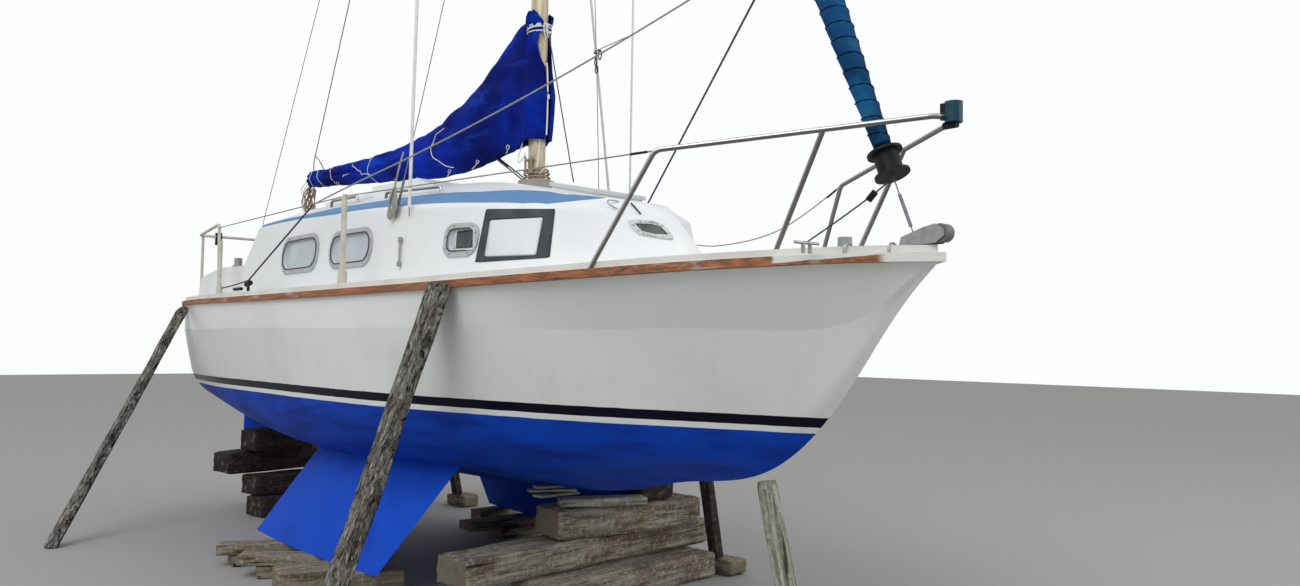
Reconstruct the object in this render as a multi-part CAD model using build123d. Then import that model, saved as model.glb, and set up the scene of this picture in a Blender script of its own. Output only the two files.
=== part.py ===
from build123d import *
from math import atan2, cos, degrees, radians, sin, sqrt
import os

# A twin-keel sailing yacht, laid up ashore on timber stacks and leaning props.
# Millimetres. Before the last shift X runs forward from the transom, Y to port, Z up from the ground.

# Whole boat
LENGTH = 7070.0
MAST_X = 4050.0
KEEL_BASE = 150.0
PORT = 1
STARBOARD = -1

# Sheer line seen from above: two aft arcs and a bow arc, tangent to each other
SHEER_MAX_X = 2700.0
SHEER_MAX_Y = 1210.0
SHEER_AFT_R = 14900.0
SHEER_MID_R = 16000.0
SHEER_MID_X = 4800.0
SHEER_BOW_R = 4100.0
CORNER_R = 110.0

# Hull sections: station x, keel line z, bilge corner y z, bilge radius, knuckle y z, sheer z
HULL_SECTIONS = [
    (0.0, 935.0, 820.0, 1030.0, 380.0, 948.0, 1620.0, 1872.0),
    (600.0, 830.0, 930.0, 985.0, 480.0, 1046.0, 1620.0, 1868.0),
    (1600.0, 690.0, 1035.0, 905.0, 500.0, 1154.0, 1620.0, 1856.0),
    (3000.0, 605.0, 1075.0, 850.0, 480.0, 1197.0, 1620.0, 1851.0),
    (4300.0, 640.0, 950.0, 900.0, 480.0, 1110.0, 1620.0, 1862.0),
    (5200.0, 735.0, 640.0, 950.0, 480.0, 888.0, 1620.0, 1881.0),
    (5800.0, 840.0, 335.0, 1010.0, 400.0, 618.0, 1620.0, 1906.0),
    (6200.0, 975.0, 125.0, 1090.0, 300.0, 396.0, 1620.0, 1927.0),
    (6500.0, 1240.0, 60.0, 1300.0, 200.0, 205.0, 1620.0, 1942.0),
    (6790.0, 1620.0, 35.0, 1660.0, 100.0, 75.0, 1720.0, 1955.0),
    (7040.0, 1900.0, 12.0, 1912.0, 8.0, 18.0, 1925.0, 1960.0),
]

# Wood rubbing strake and white toe moulding along the sheer
STRAKE_HEIGHT = 42.0
STRAKE_PROUD = 22.0
STRAKE_DROP = 2.0
MOULDING_HEIGHT = 32.0
MOULDING_WIDTH = 45.0
MOULDING_INSET = 6.0

# Coachroof sections: x, foot y, shoulder y z, shoulder radius, flat half width, crown z, crown radius
DECK_Z = 1850.0
ROOF_SECTIONS = [
    (1180.0, 885.0, 838.0, 2455.0, 45.0, 350.0, 2646.0, 500.0),
    (1780.0, 906.0, 856.0, 2448.0, 45.0, 355.0, 2646.0, 500.0),
    (2400.0, 925.0, 872.0, 2438.0, 45.0, 360.0, 2640.0, 500.0),
    (2900.0, 931.0, 880.0, 2422.0, 45.0, 360.0, 2628.0, 500.0),
    (3400.0, 930.0, 880.0, 2402.0, 45.0, 360.0, 2612.0, 500.0),
    (4050.0, 905.0, 850.0, 2362.0, 45.0, 340.0, 2572.0, 450.0),
    (4500.0, 845.0, 775.0, 2335.0, 45.0, 300.0, 2487.0, 400.0),
    (4800.0, 775.0, 645.0, 2318.0, 45.0, 260.0, 2425.0, 300.0),
    (5050.0, 620.0, 440.0, 2295.0, 45.0, 235.0, 2382.0, 200.0),
    (5250.0, 470.0, 185.0, 2250.0, 35.0, 95.0, 2325.0, 80.0),
    (5420.0, 305.0, 65.0, 2170.0, 20.0, 30.0, 2218.0, 25.0),
    (5550.0, 165.0, 45.0, 2060.0, 12.0, 20.0, 2088.0, 12.0),
    (5660.0, 70.0, 22.0, 1955.0, 5.0, 9.0, 1968.0, 5.0),
]
ROOF_WALL = 28.0
NOSE_START = 7
NOSE_JOIN = 4210.0
WING_AFT = 1180.0
WING_TOP = 2140.0
RAKE_TOP = (1480.5, 2461.0)
BULKHEAD_X = 1480.0
BULKHEAD_THICK = 40.0

# Cabin inside
SOLE_Z = 1000.0
CABIN_AFT = 1520.0
CABIN_FORE = 5150.0
CABIN_HALF = 780.0

# Windows on each side: name, x, z, width, height, corner radius
SIDE_WINDOWS = [
    ("aft", 2391.0, 2162.0, 603.0, 200.0, 92.0),
    ("middle", 3232.0, 2150.0, 548.0, 182.0, 84.0),
    ("fore", 4466.0, 2128.0, 190.0, 120.0, 40.0),
]
FRAME_WIDTH = 38.0
FRAME_PROUD = 10.0
PANE_THICK = 6.0

# Companionway, doors and sliding hatch
COMPANION_HALF = 260.0
COMPANION_SILL = 1960.0
DOOR_THICK = 18.0
DOOR_WIDE = 290.0
DOOR_HIGH = 681.0
DOOR_GAP = 3.0
HATCH_FROM = 1440.0
HATCH_LENGTH = 930.0
HATCH_HALF = 310.0
HATCH_BASE = 2655.0
HATCH_TOP = 2685.0
HATCH_HOLE_FROM = 1465.0
HATCH_HOLE_LENGTH = 700.0
RUNNER_LOW = 2560.0
RUNNER_WIDE = 26.0
RUNNER_END = 3240.0
GARAGE_FROM = 2360.0
GARAGE_TO = 3250.0
GARAGE_HALF = 352.0
GARAGE_TOP = 2716.0
GARAGE_SKIN = 14.0

# Fore hatch, sloping with the roof ahead of the mast
FORE_HATCH_X = 4690.0
FORE_HATCH_Z = 2440.0
FORE_HATCH_SLOPE = 11.9
FORE_HATCH_LONG = 440.0
FORE_HATCH_WIDE = 420.0
FORE_HOLE_LONG = 340.0
FORE_HOLE_WIDE = 310.0

# Cockpit
COCKPIT_FROM = 330.0
COCKPIT_TO = 1215.0
FOOTWELL_HALF = 300.0
FOOTWELL_FLOOR = 1420.0
COAMING_OUTER = 865.0
COAMING_INNER = 720.0
COAMING_TOP = 2150.0
COAMING_AFT_TOP = 2085.0
LOCKER_LID_THICK = 22.0
LOCKER_X = 900.0
SEAT_Z = 1848.0

# Sheet winches on the cockpit coaming
WINCH_X = 850.0
WINCH_Y = 792.0
WINCH_R = 32.0
WINCH_HIGH = 74.0

# Keels: leading and trailing edges at the hull and at the foot
KEEL_FOOT_AFT = 2040.0
KEEL_FOOT_CHORD = 1877.0
KEEL_FOOT_Y = 1000.0
KEEL_ROOT_AFT = 2270.0
KEEL_ROOT_CHORD = 1930.0
KEEL_ROOT_Y = 560.0
KEEL_ROOT_Z = 860.0
KEEL_FOOT_THICK = 90.0
KEEL_ROOT_THICK = 190.0

# Rudder, hung on the transom
RUDDER_AXIS_X = -62.0
RUDDER_REST = 38.0
RUDDER_THICK = 34.0
RUDDER_CHORD = 430.0
TILLER_Z = 2010.0
TILLER_REACH = 560.0

# The frame's origin lies midway between the rudder's tail and the bow lantern's front
LANTERN_FRONT_X = 7170.0
LANTERN_R = 38.0
RUDDER_TAIL = RUDDER_CHORD - 30
RUDDER_REACH = RUDDER_TAIL * cos(radians(RUDDER_REST)) + RUDDER_THICK / 2 * sin(radians(RUDDER_REST))
RUDDER_TAIL_X = RUDDER_AXIS_X - RUDDER_REACH
CENTRE_X = (LANTERN_FRONT_X + RUDDER_TAIL_X) / 2

# Engine, shaft and propeller
PROP_X = 700.0
PROP_Z = 600.0
SHAFT_RISE = 0.194
SHAFT_END_X = 1700.0
SHAFT_R = 12.5

# Spars and rigging
MAST_FOOT = 2560.0
MAST_HEAD = 10600.0
MAST_LONG = 130.0
MAST_WIDE = 90.0
BOOM_Z = 2940.0
BOOM_R = 38.0
BOOM_RISE = 50.0
BOOM_REST = 2.0
BOOM_END_X = 725.0
GOOSENECK_X = 3950.0
WIRE_R = 3.0
SPREADER_Z = 6900.0
# Stowed sail under its cover, along the boom: x, bottom z, top z, half width
COVER_SECTIONS = [
    (717.0, 2916.0, 3064.0, 78.0),
    (1080.0, 2893.0, 3056.0, 87.0),
    (1459.0, 2868.0, 3054.0, 96.0),
    (1900.0, 2833.0, 3056.0, 106.0),
    (2335.0, 2800.0, 3076.0, 116.0),
    (2640.0, 2776.0, 3120.0, 121.0),
    (2900.0, 2764.0, 3180.0, 124.0),
    (3150.0, 2766.0, 3270.0, 123.0),
    (3400.0, 2784.0, 3390.0, 118.0),
    (3560.0, 2808.0, 3502.0, 109.0),
    (3700.0, 2840.0, 3620.0, 98.0),
    (3895.0, 2960.0, 3762.0, 66.0),
]
STAY_FOOT = (6953.0, 2000.0)
BACKSTAY_FOOT = (30.0, -455.0, 1850.0)
SHROUD_Y = 880.0
SHROUD_Z = 2300.0
STAY_HEAD = (4120.0, 9077.0)

# The rolled headsail: distance along the forestay from its foot, radius
FURLED_ROLL = [
    (500.0, 38.0),
    (700.0, 46.0),
    (1300.0, 66.0),
    (2600.0, 84.0),
    (4600.0, 74.0),
    (6300.0, 40.0),
    (7150.0, 16.0),
]

# Bow roller
ROLLER_X = 7080.0
ROLLER_Z = 2042.0
ROLLER_R = 40.0

# Rails round the deck
TUBE_R = 12.5
RAIL_TOP = 2470.0

# Timber stacks: centre x y, bottom z, length, depth, height, turn
STERN_STACK = [
    (559, 53, 0, 1150, 280, 175, 98),
    (471, 20, 175, 1100, 280, 175, 97),
    (185, -7, 350, 1400, 280, 190, 100),
    (361, 40, 540, 1100, 290, 200, 97),
]
FORE_STACK = [
    (4620, 300, 0, 1500, 300, 175, 93),
    (4441, 162, 175, 2058, 300, 180, 95),
    (4501, 394, 355, 1105, 300, 190, 84.8),
    (4601, 159, 545, 550, 140, 55, 65.3),
]

# Planks under the keels: centre x y, bottom z, length, depth, height, turn
KEEL_PLANKS = [
    (2500, -1110, 75, 620, 180, 75, 62),
    (2440, -1080, 0, 480, 220, 75, 80),
    (2960, -1130, 75, 640, 170, 75, 50),
    (2900, -1100, 0, 420, 240, 75, 70),
    (3420, -1110, 0, 560, 240, 150, 76),
    (3740, -960, 0, 420, 120, 150, 72),
    (2680, 950, 75, 1150, 200, 75, 88),
    (2660, 990, 0, 700, 240, 75, 92),
    (3350, 1010, 75, 640, 200, 75, 94),
    (3330, 1020, 0, 500, 230, 75, 88),
    (3760, 1000, 0, 480, 150, 150, 86),
    (2230, 1010, 0, 560, 160, 150, 92),
]

# Leaning props and posts: foot, head, and the section's width and depth
AFT_PROP = ((1060, 2130, 0), (220, 1030, 1800), 110, 60)
MID_PROP = ((4560, -1640, 0), (4767, -1130, 1800), 160, 62)
FORE_POST = ((6257, 60, 0), (6087, -20, 930), 110, 60)
POST_WIDE = 85.0
POST_DEEP = 75.0
POST_BLOCK = (300.0, 180.0, 110.0)
POST_BLOCK_OUT = 60.0
# Port posts: x, foot y, head y, head z
PORT_POSTS = [(4650.0, 1130.0, 900.0, 1200.0), (1180.0, 1190.0, 960.0, 1250.0)]

# Turnbuckle at the foot of each stay: its start and end along the wire, radius
TURNBUCKLE = (90.0, 250.0, 8.0)

# How a block lies on its reference point: standing on it, or running forward and up from it
UPWARD = (Align.CENTER, Align.CENTER, Align.MIN)
FORWARD = (Align.MIN, Align.CENTER, Align.MIN)

parts = {}


def sheer_arcs(inset):
    # Centre, radius and end station of each arc of the deck edge, moved in by an inset
    run = SHEER_MID_X - SHEER_MAX_X
    lean = run / SHEER_MID_R
    upright = sqrt(1 - lean ** 2)
    mid_centre_y = SHEER_MAX_Y - SHEER_MID_R
    bow_x = SHEER_MID_X - SHEER_BOW_R * lean
    bow_y = mid_centre_y + (SHEER_MID_R - SHEER_BOW_R) * upright
    bow_r = SHEER_BOW_R - inset
    return [
        (SHEER_MAX_X, SHEER_MAX_Y - SHEER_AFT_R, SHEER_AFT_R - inset, SHEER_MAX_X),
        (SHEER_MAX_X, mid_centre_y, SHEER_MID_R - inset, SHEER_MAX_X + (SHEER_MID_R - inset) * lean),
        (bow_x, bow_y, bow_r, bow_x + sqrt(bow_r ** 2 - bow_y ** 2)),
    ]


def arc_height(arc, x):
    centre_x, centre_y, radius, end_x = arc
    return centre_y + sqrt(max(0.0, radius ** 2 - (x - centre_x) ** 2))


def sheer_half(x):
    # Half breadth of the deck edge at a station
    for arc in sheer_arcs(0.0):
        if x <= arc[3]:
            return max(12.0, arc_height(arc, x))
    return 12.0


def side_profile(points, half_width):
    # A solid whose outline in the XZ plane is a closed chain of points
    outline = make_face(Polyline(*points, close=True))
    face = Plane.XZ * outline
    return extrude(face, half_width, both=True)


def hull_section(row):
    x, keel_z, bilge_y, bilge_z, bilge_r, knuckle_y, knuckle_z, sheer_z = row
    sheer_y = sheer_half(x)
    plane = Plane(origin=(x, 0, 0), x_dir=(0, 1, 0), z_dir=(1, 0, 0))
    low = FilletPolyline((0, keel_z), (bilge_y, bilge_z), (knuckle_y, knuckle_z), radius=bilge_r)
    high = Line((knuckle_y, knuckle_z), (sheer_y, sheer_z))
    other_low = mirror(low, Plane.YZ)
    other_high = mirror(high, Plane.YZ)
    top = Line((sheer_y, sheer_z), (-sheer_y, sheer_z))
    sides = [*low.edges(), *high.edges(), *other_high.edges(), *other_low.edges()]
    return plane * make_face(Wire([*sides, *top.edges()]))


def corner_waste(extra):
    # What lies outside the rounded corners between the transom and the sides
    lean = (SHEER_MAX_X - CORNER_R) / SHEER_AFT_R
    centre_y = sheer_half(CORNER_R) - CORNER_R / sqrt(1 - lean ** 2)
    waste = []
    for side in (PORT, STARBOARD):
        block = Pos(CORNER_R * (1 - lean), side * centre_y, 900) * Box(
            400, 600, 1300, align=(Align.MAX, Align.MIN if side == PORT else Align.MAX, Align.MIN))
        core = Pos(CORNER_R, side * centre_y, 900) * Cylinder(
            CORNER_R + extra, 1300, align=UPWARD)
        waste.append(block - core)
    return waste[0] + waste[1]


def hull_form():
    return loft([hull_section(row) for row in HULL_SECTIONS]) - corner_waste(0)


def roof_section(row, inset):
    x, foot_y, shoulder_y, shoulder_z, shoulder_r, flat, crown_z, crown_r = row
    plane = Plane(origin=(x, 0, 0), x_dir=(0, 1, 0), z_dir=(1, 0, 0))
    right = [
        (foot_y - inset, DECK_Z - 60),
        (shoulder_y - inset, shoulder_z - inset),
        (flat - inset / 3, crown_z - inset),
    ]
    left = [(-y, z) for y, z in reversed(right)]
    top = FilletPolyline(*right, *left, radius=[shoulder_r, crown_r, crown_r, shoulder_r])
    foot = Line(left[-1], right[0])
    return plane * make_face(Wire([*top.edges(), *foot.edges()]))


def roof_form(inset):
    # A smooth run to the nose's start, then the nose, whose panels turn in and down
    rows = ROOF_SECTIONS
    if inset > 0:
        # The hollow runs out through the aft end and stops short of the nose
        first = (ROOF_SECTIONS[0][0] - 60,) + ROOF_SECTIONS[0][1:]
        rows = [first] + ROOF_SECTIONS[1:-3]
    body = loft([roof_section(row, inset) for row in rows[:NOSE_START + 1]])
    nose = loft([roof_section(row, inset) for row in rows[NOSE_START:]])
    return body + nose


def plan_outline(inset, aft_x):
    # The deck edge seen from above, moved in by an inset and closed at its aft station
    edges = []
    start = aft_x
    for arc in sheer_arcs(inset):
        end = arc[3]
        middle = (start + end) / 2
        ends = [(x, arc_height(arc, x)) for x in (start, middle, end)]
        if arc[3] == sheer_arcs(inset)[-1][3]:
            ends[-1] = (end, 0.0)
        edges.append(ThreePointArc(*ends))
        edges.append(ThreePointArc(*[(x, -y) for x, y in ends]))
        start = end
    first_y = arc_height(sheer_arcs(inset)[0], aft_x)
    edges.append(Line((aft_x, first_y), (aft_x, -first_y)))
    return make_face(edges)


def plan_ring(inset_outer, inset_inner, z_low, z_high):
    # The band between two offsets of the deck edge
    outer = extrude(Plane.XY.offset(z_low) * plan_outline(inset_outer, 0.0), z_high - z_low, dir=(0, 0, 1))
    inner_face = Plane.XY.offset(z_low - 1) * plan_outline(inset_inner, -50.0)
    inner = extrude(inner_face, z_high - z_low + 2, dir=(0, 0, 1))
    return outer - inner


def sheer_band(z_from, z_to):
    # A slice between two heights beside the sheer line, as a side profile
    stations = [(-100.0, HULL_SECTIONS[0][7] + 1.0)]
    stations += [(row[0], row[7]) for row in HULL_SECTIONS]
    stations.append((7200.0, 1962.0))
    low = Spline(*[(x, z + z_from) for x, z in stations])
    high = Spline(*[(x, z + z_to) for x, z in stations])
    ends = [Line(low @ 0, high @ 0), Line(low @ 1, high @ 1)]
    outline = make_face([low, high, *ends])
    return extrude(Plane.XZ * outline, 1600, both=True)


def foil(aft, chord, thick, z, y):
    # A level slice of a keel with a fine trailing edge
    half = thick / 2
    edge = 6.0
    tail_a = (aft, y - edge)
    tail_b = (aft, y + edge)
    nose = (aft + chord, y)
    deep = aft + 0.6 * chord
    side_a = ThreePointArc(tail_a, (deep, y - half), nose)
    side_b = ThreePointArc(nose, (deep, y + half), tail_b)
    back = Line(tail_b, tail_a)
    return Plane.XY.offset(z) * make_face(Wire([*side_a.edges(), *side_b.edges(), *back.edges()]))


def keel(side):
    foot = foil(KEEL_FOOT_AFT, KEEL_FOOT_CHORD, KEEL_FOOT_THICK, KEEL_BASE, side * KEEL_FOOT_Y)
    root = foil(KEEL_ROOT_AFT, KEEL_ROOT_CHORD, KEEL_ROOT_THICK, KEEL_ROOT_Z, side * KEEL_ROOT_Y)
    return loft([foot, root])


def tube(points, radius, bend):
    path = FilletPolyline(*points, radius=bend) if len(points) > 2 else Line(*points)
    section = Plane(origin=path @ 0, z_dir=path % 0) * Circle(radius)
    return sweep(section, path=path)


def rod(a, b, radius):
    a = Vector(*a)
    b = Vector(*b)
    run = b - a
    return Plane(origin=a, z_dir=run) * Cylinder(radius, run.length, align=UPWARD)


def beam(x, y, z, long, deep, high, turn=90.0):
    # A sawn timber lying on its side, its length turned from the X axis
    block = Box(long, deep, high, align=UPWARD)
    block = fillet(block.edges(), 8)
    return Location((x, y, z), (0, 0, turn)) * block


def leaning(foot, head, wide, deep):
    # A rough prop between two points
    a = Vector(*foot)
    b = Vector(*head)
    run = b - a
    across = Vector(1, 0, 0) if abs(run.X) < 1 else run.cross(Vector(0, 1, 0))
    plane = Plane(origin=a, x_dir=across, z_dir=run)
    block = Box(wide, deep, run.length + 120, align=(Align.CENTER, Align.CENTER, Align.CENTER))
    block = fillet(block.edges().filter_by(Axis.Z), 12)
    return plane * Pos(0, 0, run.length / 2) * block


def side_window(x, z, width, height, radius, depth):
    # A window-shaped prism through both cabin sides
    plane = Plane(origin=(x, 0, z), x_dir=(1, 0, 0), z_dir=(0, -1, 0))
    face = plane * RectangleRounded(width, height, radius)
    return extrude(face, depth, both=True)


def trimmed(prop):
    # A prop cut level at the ground and to the hull's side
    cut = prop - ground - hull_solid - strake - moulding
    return max(cut.solids(), key=lambda s: s.volume)


def turnbuckle(foot, head):
    # A screw that tightens a wire, lying along it near its foot
    low = Vector(*foot)
    run = (Vector(*head) - low).normalized()
    start, end, radius = TURNBUCKLE
    return rod(low + run * start, low + run * end, radius)


def save(name, shape):
    parts[name] = shape


# Ground that the props stand on
ground = Pos(3500, 0, -500) * Box(9000, 6000, 500, align=UPWARD)

# Hull with its cabin and cockpit
hull_solid = hull_form()
hull = hull_solid

roof_outer = roof_form(0.0)
roof_inner = roof_form(ROOF_WALL)

cabin_plan = Polyline(
    (CABIN_AFT, -CABIN_HALF), (4300, -CABIN_HALF), (CABIN_FORE, -300),
    (CABIN_FORE, 300), (4300, CABIN_HALF), (CABIN_AFT, CABIN_HALF), close=True)
cabin_room = extrude(Plane.XY.offset(SOLE_Z) * make_face(cabin_plan), 1000, dir=(0, 0, 1))
engine_bay = Pos(1850, 0, 800) * Box(700, 520, 400, align=UPWARD)
footwell = Pos((COCKPIT_FROM + COCKPIT_TO) / 2, 0, FOOTWELL_FLOOR) * Box(
    COCKPIT_TO - COCKPIT_FROM, 2 * FOOTWELL_HALF, 600, align=UPWARD)
seat_level = Pos(200, 0, SEAT_Z) * Box(BULKHEAD_X - 200, 1430, 100, align=FORWARD)
hull = hull - cabin_room - engine_bay - footwell - seat_level
for side in (PORT, STARBOARD):
    hull = hull - Pos(LOCKER_X, side * 510, 1600) * Box(450, 320, 400, align=UPWARD)
shaft_slope = degrees(atan2(SHAFT_RISE, 1))
shaft_start = (PROP_X - 60, 0, PROP_Z - 60 * SHAFT_RISE)
shaft_end = (SHAFT_END_X, 0, PROP_Z + (SHAFT_END_X - PROP_X) * SHAFT_RISE)
hull = hull - rod(shaft_start, shaft_end, SHAFT_R + 3)
save("hull", hull)

# Rubbing strake and toe moulding
strake = plan_ring(-STRAKE_PROUD, 60, 1700, 2000) & sheer_band(-STRAKE_HEIGHT, -STRAKE_DROP)
strake = strake - hull_solid - corner_waste(STRAKE_PROUD)
save("rubbing_strake", strake)
moulding = plan_ring(MOULDING_INSET, MOULDING_WIDTH, 1800, 2050) & sheer_band(-MOULDING_INSET, MOULDING_HEIGHT)
moulding = moulding - hull_solid - strake - corner_waste(-MOULDING_INSET)
save("toe_moulding", moulding)

# Coachroof, open below; its sides run on aft as wings, cut off along a rake
roof_shell = roof_outer - roof_inner
rake = side_profile([
    (1100, WING_TOP), (WING_AFT, WING_TOP), RAKE_TOP, (RAKE_TOP[0], 2900), (1100, 2900)], 1200)
roof_shell = roof_shell - rake - hull_solid
companion = Pos(RAKE_TOP[0] - 75, 0, COMPANION_SILL) * Box(
    200, 2 * COMPANION_HALF, 1200, align=FORWARD)
hatch_hole = Pos(HATCH_HOLE_FROM, 0, 2400) * Box(
    HATCH_HOLE_LENGTH, 2 * COMPANION_HALF, 600, align=FORWARD)
fore_plane = Plane(
    origin=(FORE_HATCH_X, 0, FORE_HATCH_Z),
    x_dir=(cos(radians(FORE_HATCH_SLOPE)), 0, -sin(radians(FORE_HATCH_SLOPE))),
    z_dir=(sin(radians(FORE_HATCH_SLOPE)), 0, cos(radians(FORE_HATCH_SLOPE))))
fore_hole = fore_plane * Box(FORE_HOLE_LONG, FORE_HOLE_WIDE, 400)
bulkhead = Pos(BULKHEAD_X, 0, 1700) * Box(BULKHEAD_THICK, 2400, 1400, align=FORWARD)
bulkhead = (bulkhead & roof_outer) - roof_shell - hull_solid - companion
save("cabin_bulkhead", max(bulkhead.solids(), key=lambda s: s.volume))
roof = roof_shell - companion - hatch_hole - fore_hole
for name, x, z, width, height, radius in SIDE_WINDOWS:
    roof = roof - side_window(x, z, width, height, radius, 1500)
nose_half = Pos(NOSE_JOIN, 0, 1500) * Box(2000, 2400, 1600, align=FORWARD)
save("coachroof", roof - nose_half)
save("coachroof_nose", roof & nose_half)

# Window frames and panes follow the cabin side, cut from thin shells around it
frame_shell = roof_form(-FRAME_PROUD) - roof_outer
pane_shell = roof_form(8.0) - roof_form(8.0 + PANE_THICK)
frame_list = []
pane_list = []
for name, x, z, width, height, radius in SIDE_WINDOWS:
    wide = side_window(x, z, width + 2 * FRAME_WIDTH, height + 2 * FRAME_WIDTH, radius + 0.9 * FRAME_WIDTH, 1500)
    hole = side_window(x, z, width, height, radius, 1500)
    frame_list += ((frame_shell & wide) - hole).solids()
    pane_list += (pane_shell & hole).solids()
save("window_frames", Compound(frame_list))
save("window_panes", Compound(pane_list))

# Companionway doors, one to each side, hung outside the cabin's aft wall
door_x = BULKHEAD_X - DOOR_THICK - 0.4
for side, name in ((PORT, "door_port"), (STARBOARD, "door_starboard")):
    leaf = Pos(door_x, side * (DOOR_GAP + DOOR_WIDE) / 2, COMPANION_SILL + 4) * Box(
        DOOR_THICK, DOOR_WIDE, DOOR_HIGH, align=FORWARD)
    save(name, leaf)

# Sliding hatch and its garage
hatch = Pos(HATCH_FROM, 0, HATCH_BASE) * Box(
    HATCH_LENGTH, 2 * HATCH_HALF, HATCH_TOP - HATCH_BASE, align=FORWARD)
hatch = fillet(hatch.edges().filter_by(Axis.Z), 40)
hatch = hatch - Pos(HATCH_FROM + 20, 0, HATCH_BASE - 1) * Box(
    HATCH_LENGTH - 40, 2 * HATCH_HALF - 50, 17, align=FORWARD)
runner_list = []
for side in (PORT, STARBOARD):
    runner = Pos(BULKHEAD_X, side * (HATCH_HALF - RUNNER_WIDE / 2), RUNNER_LOW) * Box(
        RUNNER_END - BULKHEAD_X, RUNNER_WIDE, HATCH_BASE - RUNNER_LOW - 0.4, align=FORWARD)
    runner = runner - roof_outer
    runner_list.append(max(runner.solids(), key=lambda s: s.volume))
save("hatch_runners", Compound(runner_list))
save("sliding_hatch", hatch)
garage_form = side_profile([
    (GARAGE_FROM, 2520), (GARAGE_TO, 2520), (GARAGE_TO, GARAGE_TOP - 72), (GARAGE_TO - 150, GARAGE_TOP - 14),
    (GARAGE_FROM, GARAGE_TOP)], GARAGE_HALF)
garage_form = fillet(garage_form.edges().filter_by(Axis.Z), 50)
garage_room = Pos(GARAGE_FROM - 1, 0, 2450) * Box(
    GARAGE_TO - GARAGE_FROM - 150, 2 * (GARAGE_HALF - 30), GARAGE_TOP - 14 - GARAGE_SKIN - 2450 + 6,
    align=FORWARD)
garage = garage_form - garage_room - roof_outer - runner_list[0] - runner_list[1]
save("hatch_garage", max(garage.solids(), key=lambda s: s.volume))

# Fore hatch on the roof ahead of the mast, sloping with it
coaming_long = FORE_HATCH_LONG - 30
coaming_wide = FORE_HATCH_WIDE - 30
fore_frame = fore_plane * Pos(0, 0, -110) * Box(
    coaming_long, coaming_wide, 134.6, align=UPWARD)
fore_frame = fore_frame - fore_hole - roof_outer
save("fore_hatch_coaming", fore_frame)
fore_lid = fore_plane * Pos(0, 0, 25) * Box(
    FORE_HATCH_LONG, FORE_HATCH_WIDE, 26, align=UPWARD)
save("fore_hatch_lid", fillet(fore_lid.edges(), 6))

# Grab rails along both sides of the coachroof
rails = []
for side in (PORT, STARBOARD):
    for aft_x, fore_x, aft_z, fore_z in ((2220, 2690, 2594, 2588), (3100, 3880, 2566, 2528)):
        rail = tube([
            (aft_x, side * 600, aft_z - 110), (aft_x + 22, side * 600, aft_z),
            (fore_x - 22, side * 600, fore_z), (fore_x, side * 600, fore_z - 110)], 11, 24)
        rail = rail - roof_outer
        rails.append(max(rail.solids(), key=lambda s: s.volume))
save("grab_rails", Compound(rails))

# Cockpit coamings and seat locker lids
coaming_side = side_profile([
    (90, 1800), (BULKHEAD_X, 1800), (BULKHEAD_X, WING_TOP), (WING_AFT, WING_TOP), (640, COAMING_TOP),
    (160, COAMING_AFT_TOP), (100, 1990)], 1200)
aft_bar = Pos(90, 0, 1800) * Box(80, 2 * COAMING_INNER + 20, 150, align=FORWARD)
coaming = aft_bar
for side in (PORT, STARBOARD):
    bar = Pos(60, side * (COAMING_OUTER + COAMING_INNER) / 2, 1700) * Box(
        WING_AFT - 60, COAMING_OUTER - COAMING_INNER, 700, align=FORWARD)
    inner_bar = Pos(WING_AFT, side * (COAMING_INNER + 835) / 2, 1700) * Box(
        BULKHEAD_X - WING_AFT, 835 - COAMING_INNER, 700, align=FORWARD)
    coaming = coaming + ((bar + inner_bar) & coaming_side)
coaming = coaming - hull_solid - roof_shell
save("cockpit_coaming", coaming)
for side, name in ((PORT, "locker_lid_port"), (STARBOARD, "locker_lid_starboard")):
    lid = Pos(LOCKER_X, side * 510, SEAT_Z + 0.4) * Box(
        510, 380, LOCKER_LID_THICK, align=UPWARD)
    save(name, lid)

# A sheet winch on each coaming, with a square socket for its handle
winches = []
for side in (PORT, STARBOARD):
    spot = Pos(WINCH_X, side * WINCH_Y, COAMING_TOP)
    winch = spot * Cylinder(46, 12, align=UPWARD)
    winch = winch + spot * Cylinder(WINCH_R, WINCH_HIGH, align=UPWARD)
    winch = winch - spot * Pos(0, 0, WINCH_HIGH - 30) * Box(17, 17, 31, align=UPWARD)
    winches.append(winch)
save("winches", Compound(winches))

# Keels
save("keel_starboard", keel(STARBOARD) - hull_solid)
save("keel_port", keel(PORT) - hull_solid)

# Rudder with its head and tiller, hung on pintles aft of the transom
rudder_outline = make_face(Polyline(
    (RUDDER_AXIS_X + 30, 420), (RUDDER_AXIS_X + 30, 1900), (RUDDER_AXIS_X - 110, 1900),
    (RUDDER_AXIS_X - 150, 1250), (RUDDER_AXIS_X - RUDDER_TAIL, 900),
    (RUDDER_AXIS_X - RUDDER_TAIL, 480), (RUDDER_AXIS_X - 200, 400), close=True))
rudder = extrude(Plane.XZ * rudder_outline, RUDDER_THICK / 2, both=True)
head = Pos(RUDDER_AXIS_X - 40, 0, 1860) * Box(130, 60, 70, align=UPWARD)
tiller = head + tube([
    (RUDDER_AXIS_X - 90, 0, 1880), (RUDDER_AXIS_X + 60, 0, TILLER_Z), (TILLER_REACH, 0, TILLER_Z + 70)], 20, 60)
rudder = rudder + tiller
for z in (1150, 1700):
    rudder = rudder - Pos(RUDDER_AXIS_X, 0, z) * Cylinder(38, 44)
    rudder = rudder + Pos(RUDDER_AXIS_X, 0, z) * Cylinder(7.92, 60)
turn = Location((RUDDER_AXIS_X, 0, 0), (0, 0, RUDDER_REST)) * Location((-RUDDER_AXIS_X, 0, 0))
save("rudder", turn * rudder)
hanging_list = []
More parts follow.
